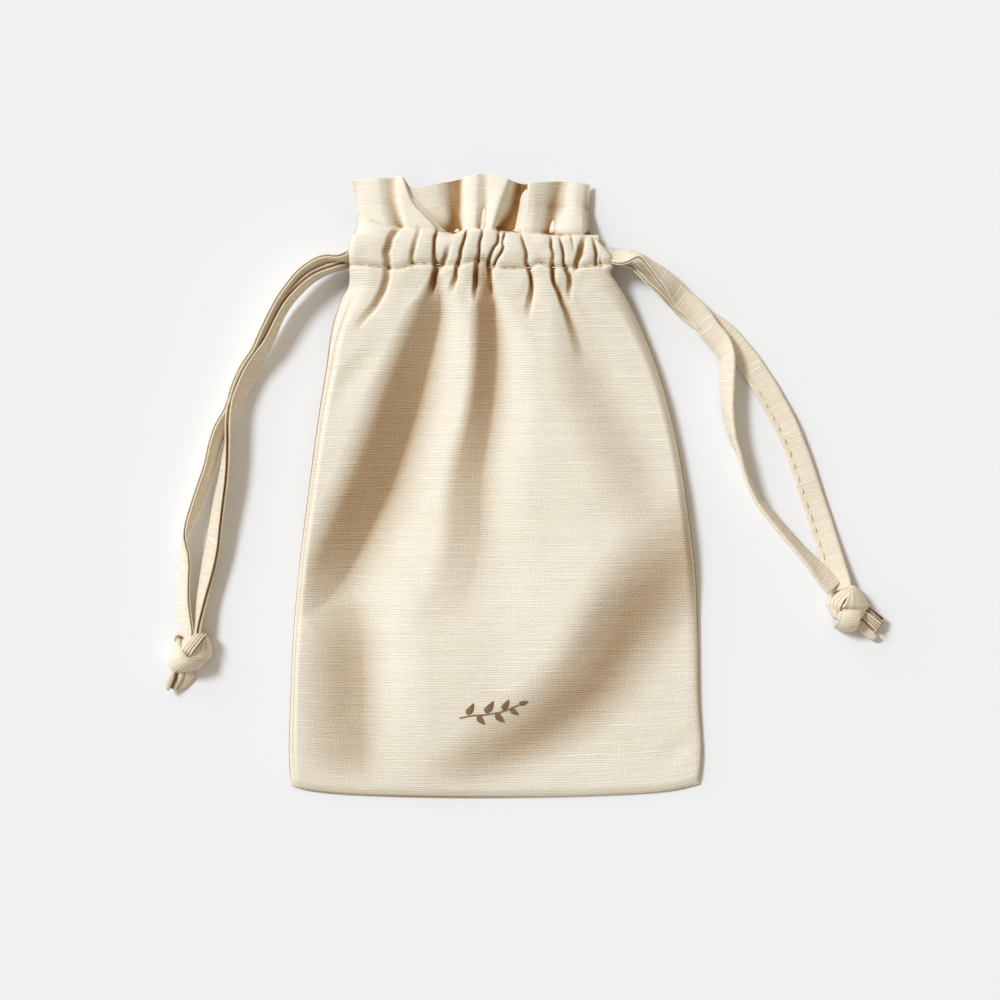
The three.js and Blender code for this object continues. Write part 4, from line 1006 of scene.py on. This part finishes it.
def roundedCurve(points, at):
    # Between two points the curve leaves and arrives level, so each is a crest, valley or ledge,
    # unless the points go on rising or falling
    x, y = points[:, 0], points[:, 1]
    slope = np.zeros(len(x))
    step = np.diff(y) / np.diff(x)
    rising = step[:-1] * step[1:] > 0
    slope[1:-1][rising] = 2 / (1 / step[:-1][rising] + 1 / step[1:][rising])
    i = np.clip(np.searchsorted(x, at) - 1, 0, len(x) - 2)
    h = x[i + 1] - x[i]
    t = np.clip((at - x[i]) / h, 0, 1)
    a, b = 2 * t ** 3 - 3 * t ** 2 + 1, t ** 3 - 2 * t ** 2 + t
    return a * y[i] + b * h * slope[i] + (1 - a) * y[i + 1] + (t ** 3 - t ** 2) * h * slope[i + 1]


def bodyHeight(px, py, panel):
    # The heights of the front panel below its ruffle, and the painted shade of its folds
    x, y = fromPhoto(px, py)
    gaps = dict(zip(("left", "right", "bottom"), edgeGaps(px, py)))
    rim, rise = np.ones_like(px), np.ones_like(px)
    for side, gap in gaps.items():
        rim *= np.sqrt(np.clip(1 - (1 - np.clip(gap / panel["rimRadius"], 0, 1)) ** 2, 0, 1))
        reach = panel["bottomReach"] if side == "bottom" else valueOn(panel[side + "Reach"], py)
        rise *= 1 - (1 - np.clip(gap / reach, 0, 1)) ** panel[side + "Power"]
    for side in ("left", "right"):
        rise *= 1 - valueOn(panel[side + "Lack"], py) * (1 - smoothStep(gaps[side] / panel["lackReach"]))
    share = np.clip(gaps["right"] / (gaps["left"] + gaps["right"] + 1e-9), 0, 1)
    rimHeight = panel["rimRight"] + (panel["rimLeft"] - panel["rimRight"]) * share
    rimHeight += (panel["rimBottom"] - rimHeight) * np.exp(-(gaps["bottom"] / panel["rimBottomReach"]) ** 2)
    seam = valueOn(panel["seam"], py)
    belly = np.maximum(valueOn(panel["crown"], py) - seam - rimHeight, 0) * rise
    # Painted shade: for each place, the most that any fold lays on it
    pressed = np.zeros_like(px)
    for valley in valleys.values():
        lost, foldShade = foldShare(x, y, **valley)
        belly *= 1 - lost
        pressed = np.maximum(pressed, foldShade * smoothStep(rise * 2))
    height = seam + rimHeight * rim + belly
    for table, shoulder in ((gathers, gatherShoulder), (folds, 0.0)):
        for fold in table.values():
            lost, foldShade = foldShare(x, y, shoulder=shoulder, **fold)
            height -= lost * np.clip(rim * 1.2, 0, 1)
            pressed = np.maximum(pressed, foldShade)
    for cell, size, seed in panel["noise"]:
        height += size * shapeNoise(x, y, cell, seed) * rim
    cell, size, seed = panel["casingNoise"]
    (start, rampUp), (end, rampDown) = panel["casingNoiseFrom"], panel["casingNoiseTo"]
    onCasing = smoothStep((py - start) / rampUp) * (1 - smoothStep((py - end) / rampDown))
    height += size * shapeNoise(x, y, cell, seed) * onCasing
    return np.maximum(height, seam * panel["lowestShare"]), pressed


def panelRows(panel, topDrop=0.0):
    # Places in the photograph's pixels, in rows from the bottom seam to the top of the ruffle. A back
    # panel's ruffle ends topDrop pixels lower.
    plan = rowPlan
    s = np.linspace(0, 1, panel["columns"])
    body = list(np.arange(plan["bottom"], plan["casingFrom"], -panel["bodyStep"]))
    casing = list(np.arange(plan["casingFrom"], plan["ruffleFoot"], -panel["casingStep"]))
    sag = edge("bottom", plan["left"] + plan["width"] * s) - plan["bottom"]
    px, py = [], []
    for level in body + casing:
        y = level + sag * smoothStep((level - plan["curvedTo"]) / (plan["bottom"] - plan["curvedTo"]))
        px.append(rowAcross(y, s))
        py.append(y)
    for t in np.linspace(0, 1, panel["ruffleRows"]):
        px.append(rowAcross(plan["ruffleFoot"] + (plan["ruffleTop"] - plan["ruffleFoot"]) * t, s))
        py.append(plan["ruffleFoot"] + (edge("top", px[-1]) + topDrop - plan["ruffleFoot"]) * t)
    return np.array(px), np.array(py)


def frontSurface(panel):
    px, py = panelRows(panel)
    height, pressed = bodyHeight(px, py, panel)
    upper, lower = edge("upperStitch", px), edge("lowerStitch", px)
    above = smoothStep((upper - py) / panel["ruffleBlend"] + 0.5)
    inRuffle = py.min(axis=1) < rowPlan["ruffleFoot"] + 10
    ruffle = height.copy()
    ruffle[inRuffle] = ruffleHeight(px[inRuffle], py[inRuffle])
    height = height + (ruffle - height) * above
    inside = np.clip((py - upper) / (lower - upper), 0, 1)
    swollen = np.sin(inside * math.pi) ** panel["casingRoundness"]
    height += panel["casingBulge"] * swollen * smoothStep((px - panel["casingLeft"]) / panel["bulgeFade"])
    for line, name in ((upper, "upperDip"), (lower, "lowerDip")):
        depth, reachAbove, reachBelow = panel[name]
        dip = np.exp(-((py - line) / np.where(py < line, reachAbove, reachBelow)) ** 2)
        height -= depth * dip * smoothStep((px - panel["casingLeft"]) / panel["dipFade"])
    # Painted shade: the hollows of the creases and of the ruffle, and below the ruffle the folds' painted
    # shade
    cavity = np.maximum(hollows(height, *panel["creases"]), above * hollows(height, *panel["ruffleDepths"]))
    return px, py, height, np.maximum(cavity, pressed * (1 - above))


def addFacing(outer, py, panel, side):
    # The cloth folds over at the top and comes back inside, where the channel for the tapes swells
    # it away from the outer cloth. side is -1 under the front panel and 1 over the back one.
    radius = panel["foldRadius"]
    top = outer[-1]
    folded = []
    for k in range(1, panel["foldRows"] + 1):
        angle = math.pi * k / panel["foldRows"]
        folded.append(top + np.array([0, radius * math.sin(angle), side * radius * (1 - math.cos(angle))]))
    middle = panel["columns"] // 2
    first = int(np.argmax(py[:, middle] < rowPlan["facingEnd"]))
    calmReach = 5  # columns to each side, over which the gathers are evened out inside
    calmCount = 2 * calmReach + 1
    facing = []
    for share in np.linspace(1, 0, panel["facingRows"])[1:]:
        k = int(round(first + (len(outer) - 1 - first) * share))
        row, at = outer[k].copy(), py[k, middle]
        padded = np.pad(row[:, 2], calmReach, mode="edge")
        calm = np.convolve(padded, np.ones(calmCount) / calmCount, mode="valid")
        row[:, 2] += (calm - row[:, 2]) * smoothStep((1 - share) * 6) + side * panel["facingGap"]
        swollen = smoothStep((at - rowPlan["channelTop"]) / 5)
        swollen *= smoothStep((rowPlan["channelEnd"] - at) / 4)
        row[:, 2] += (panel["channelFloor"] - row[:, 2]) * swollen
        drawnIn = rowPlan["facingNarrower"] * smoothStep((1 - share) * 4)
        row[:, 0] -= (row[:, 0] - row[:, 0].mean()) * drawnIn
        facing.append(row)
    return np.concatenate([outer, np.array(folded), np.array(facing)])


# The width and length, in metres, that each panel is cut to, however much its rows are gathered
panelFlat = (0.120, 0.208)


def panelMesh(name, places, cavity, columns):
    across = np.broadcast_to(np.linspace(0, panelFlat[0] / toMetres, columns), places.shape[:2])
    along = np.broadcast_to(distances(places[:, columns // 2, 1:])[:, None], places.shape[:2])
    cavity = np.pad(cavity, ((0, len(places) - len(cavity)), (0, 0)))
    return gridMesh(name, places, np.dstack([across, along]), cavity)


def makeFrontPanel(panel):
    px, py, height, cavity = frontSurface(panel)
    outer = np.dstack([*fromPhoto(px, py), height])
    places = addFacing(outer, py, panel, -1)
    mesh = panelMesh("front_panel_cloth", places, cavity, panel["columns"])
    piece = placeMesh("front_panel_cloth", mesh, "pouch", clothCotton)
    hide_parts("front_panel")
    return py, outer


# The back panel lies on the floor. Its edges rise to the seams, and its ruffle is a little lower.
backPanel = {
    "columns": 150, "bodyStep": 6.0, "casingStep": 1.8, "ruffleRows": 26,
    "rest": 0.35, "seam": ((184, 0.9), (268, 0.9), (345, 0.8), (800, 0.8)), "curl": 1.6,
    "foldRadius": 0.25, "foldRows": 4, "facingRows": 24, "facingGap": 0.5, "channelFloor": 3.5,
    "pleatCount": 9, "pleat": 0.8, "pleatDrift": 0.35, "pleatFrom": 330, "pleatOver": 70,
    "topDrop": 5.0, "noise": (18.0, 0.12, 11), "calmEdge": 4,
}


def makeBackPanel(panel):
    px, py = panelRows(panel, panel["topDrop"])
    x, y = fromPhoto(px, py)
    gap = np.minimum.reduce(edgeGaps(px, py))
    seam = np.interp(py, *np.array(panel["seam"]).T)
    curl = (1 - smoothStep(gap / panel["curl"])) * (seam - panel["rest"])
    s = np.linspace(0, 1, panel["columns"])[None, :]
    gathered = smoothStep((panel["pleatFrom"] - py) / panel["pleatOver"])
    turns = panel["pleatCount"] * s + panel["pleatDrift"] * np.sin(5 * s) + 0.1
    wave = 0.5 - 0.5 * np.cos(2 * math.pi * turns)
    height = panel["rest"] + curl + panel["pleat"] * gathered * wave ** 2
    cell, size, seed = panel["noise"]
    height += size * (1 + shapeNoise(x, y, cell, seed)) * smoothStep(gap / panel["calmEdge"])
    outer = np.dstack([x, y, height])
    places = addFacing(outer, py, panel, 1)[:, ::-1]
    mesh = panelMesh("back_panel_cloth", places, np.zeros(px.shape), panel["columns"])
    piece = placeMesh("back_panel_cloth", mesh, "pouch", clothCotton)
    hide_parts("back_panel")


makeBackPanel(backPanel)
frontPy, frontPlaces = makeFrontPanel(frontPanel)
print("front and back panels are sewn")


def onFront(x, y, lift=0.0):
    # The place on the front panel, in mm, that shows at a point of the photograph
    left, right = edge("left", y), edge("right", y)
    j = int(np.clip((x - left) / (right - left), 0, 1) * (frontPlaces.shape[1] - 1))
    column = frontPy[::-1, j]
    i = np.interp(y, column, np.arange(len(column))[::-1])
    low = int(np.clip(i, 0, len(frontPy) - 2))
    z = frontPlaces[low, j, 2] + (frontPlaces[low + 1, j, 2] - frontPlaces[low, j, 2]) * (i - low)
    return np.array([*fromPhoto(x, y), z + lift])


# Off-white cotton sewing thread: short stitches, half sunk in the cloth. The casing's lines start
# and end so many pixels of the photograph inside the ends of their outline.
sewing = {"pitch": 2.6, "length": 1.7, "diameter": 0.36, "lift": 0.02, "startInset": 8, "endInset": 10}


def addStitch(bm, a, b, diameter):
    # One stitch is a slender bead from a to b, in mm
    a, b = Vector(a), Vector(b)
    bead = bmesh.ops.create_uvsphere(bm, u_segments=8, v_segments=6, radius=0.5 * toMetres)
    bmesh.ops.scale(bm, vec=(diameter, diameter, (b - a).length + diameter), verts=bead["verts"])
    turn = (b - a).to_track_quat("Z", "Y").to_matrix()
    bmesh.ops.rotate(bm, cent=(0, 0, 0), matrix=turn, verts=bead["verts"])
    bmesh.ops.translate(bm, vec=(a + b) / 2 * toMetres, verts=bead["verts"])


def threadObject(name, stitches, diameter, material, body, nodes):
    bm = bmesh.new()
    for a, b in stitches:
        addStitch(bm, a, b, diameter)
    piece = placeMesh(name, meshFrom(bm, name), body, material)
    if nodes:
        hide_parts(*nodes)


# The twist's bars are drawn about 0.4 mm long, coarser than real ones, so that they show
threadLook = {"barsPerMetre": 2600.0, "roughness": 0.6, "sheen": 0.15, "relief": 0.4, "reliefM": 0.00008}


def threadMaterial(name, colour, dark):
    # Spun thread: a fine twist seen as tiny light and dark bars, with a soft sheen
    material = bpy.data.materials.new(name)
    material.use_nodes = True
    tree = material.node_tree
    shader = tree.nodes["Principled BSDF"]
    place = addNode(tree, "ShaderNodeTexCoord")
    twist = addNode(tree, "ShaderNodeTexNoise", None,
                    Vector=place.outputs["Object"], Scale=threadLook["barsPerMetre"], Detail=2.0)
    ramp = addNode(tree, "ShaderNodeValToRGB", None, i0=twist.outputs["Fac"])
    for stop, position, shade in zip(ramp.color_ramp.elements, (0.3, 0.7), (dark, colour)):
        stop.position = position
        stop.color = (*linear(shade), 1)
    bump = addNode(tree, "ShaderNodeBump", None, Height=twist.outputs["Fac"],
                   Strength=threadLook["relief"], Distance=threadLook["reliefM"])
    tree.links.new(ramp.outputs[0], shader.inputs["Base Color"])
    tree.links.new(bump.outputs[0], shader.inputs["Normal"])
    shader.inputs["Roughness"].default_value = threadLook["roughness"]
    shader.inputs["Sheen Weight"].default_value = threadLook["sheen"]
    return material


sewingThread = threadMaterial("spun_cotton_sewing_thread", "f4ead6", "dcc9a4")
sprigThread = threadMaterial("rayon_embroidery_thread", "a08055", "6f5230")


def makeCasingThreads():
    for part in ("upper", "lower"):
        line = part + "Stitch"
        x, end = outline[line][0][0] + sewing["startInset"], outline[line][-1][0] - sewing["endInset"]
        stitches = []
        while x < end:
            both = (x, x + sewing["length"] / photo["pixelMm"])
            stitches.append([onFront(at, edge(line, at), sewing["lift"]) for at in both])
            x += sewing["pitch"] / photo["pixelMm"]
        threadObject("front_" + part + "_casing_stitches", stitches, sewing["diameter"], sewingThread,
                     "pouch", ["front_" + part + "_casing_thread"])


makeCasingThreads()
print("casing is stitched")

# A small embroidered sprig: a stem with leaves of short satin stitches side by side. Places are in
# the photograph's pixels, angles in degrees and lengths in mm.
sprig = {"stem": [(460, 716), (472, 713.5), (486, 712.5), (500, 710), (511, 706), (518, 703)],
         "leaves": [(467, 714, 62, 4.2), (476, 712.5, -48, 3.8), (485, 712.5, 58, 4.6),
                    (494, 711, -42, 4.0), (502, 709, 60, 3.8), (509, 706.5, -34, 3.2),
                    (518, 703, 22, 3.0)],
         "thread": 0.42, "stemStitch": 0.9, "stemOverlap": 1.3, "leafWidth": 0.42, "leafSpacing": 0.8,
         "lift": 0.12}


def makeSprig(facts):
    px, py = smoothLine(facts["stem"], 12).T
    run = distances(np.column_stack([px, py]))
    step = facts["stemStitch"] / photo["pixelMm"]
    pairs = []
    for a in np.arange(0, run[-1], step):
        both = (a, a + facts["stemOverlap"] * step)
        pairs.append([(np.interp(b, run, px), np.interp(b, run, py)) for b in both])
    for x, y, angle, length in facts["leaves"]:
        turn = math.radians(angle)
        forward = np.array([math.cos(turn), -math.sin(turn)])
        across = np.array([math.sin(turn), math.cos(turn)])
        count = int(length / (facts["leafSpacing"] * facts["thread"]))
        for k in range(count):
            t = (k + 0.5) / count
            half = facts["leafWidth"] * length * math.sin(math.pi * t ** 0.8) / photo["pixelMm"] / 2
            middle = np.array([x, y]) + forward * (0.15 + 0.85 * t) * length / photo["pixelMm"]
            slant = forward * half * 0.7
            pairs.append([middle - across * half - slant, middle + across * half - slant * 0.2])
    stitches = [[onFront(*end, facts["lift"]) for end in pair] for pair in pairs]
    threadObject("embroidered_sprig", stitches, facts["thread"], sprigThread, "pouch", None)


# Stitches along one edge of the flat strand, as seen in the photograph between two of its heights
edgeStitches = {"strand": "right_back", "body": "right_drawstring", "from": 386.0, "to": 567.0,
                "inset": 1.3, "pitch": 4.0, "length": 1.4, "diameter": 0.55, "liftShare": 0.68}

# Loose ends of thread: places in the photograph's pixels, with heights in mm
looseDiameter = 0.28
looseThreads = {
    "left_thread_end": {"body": "pouch", "points": [
        (350.5, 266, 4.6), (352.5, 269, 4.4), (351, 273, 3.2), (353.5, 276, 2.6)]},
    "right_thread_end": {"body": "pouch", "points": [
        (610, 264, 5.6), (612.5, 267.5, 4.8), (611, 271, 3.4), (613.5, 273.5, 2.6)]},
    "tail_thread_loop": {"body": "right_drawstring", "points": [
        (866, 622, 6.2), (869.5, 625.5, 6.4), (872.5, 629.5, 5.6), (870, 632, 4.6), (866.5, 629.5, 4.8)]},
}


def makeEdgeStitches(facts):
    middle, across, face, width, run = strandFrames(strands[facts["strand"]]["rows"])
    heights = photo["originY"] - middle[:, 1] / photo["pixelMm"]
    start, end = np.interp([facts["from"], facts["to"]], heights, run)
    stitches = []
    for at in np.arange(start, end, facts["pitch"]):
        ends = []
        for place in (at, at + facts["length"]):
            k = int(np.searchsorted(run, place))
            up = face[k] if face[k, 2] > 0 else -face[k]
            left = across[k] if across[k, 0] < 0 else -across[k]
            sideways = left * (width[k] / 2 - facts["inset"])
            ends.append(middle[k] + sideways + up * tape["thick"] * facts["liftShare"])
        stitches.append(ends)
    threadObject("strand_edge_stitches", stitches, facts["diameter"], sewingThread,
                 facts["body"], None)


makeSprig(sprig)
makeEdgeStitches(edgeStitches)
for name, facts in looseThreads.items():
    line = raised(smoothLine(facts["points"], 4))
    threadObject(name, list(zip(line[:-1], line[1:])), looseDiameter, sewingThread, facts["body"], None)
print("sprig and small stitches are in")

# The seams keep their own solids, in the materials of cloth and thread
for name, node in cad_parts.items():
    for ending, material in (("_allowance", clothCotton), ("_thread", sewingThread)):
        if name.endswith(ending):
            node.data.materials.clear()
            node.data.materials.append(material)
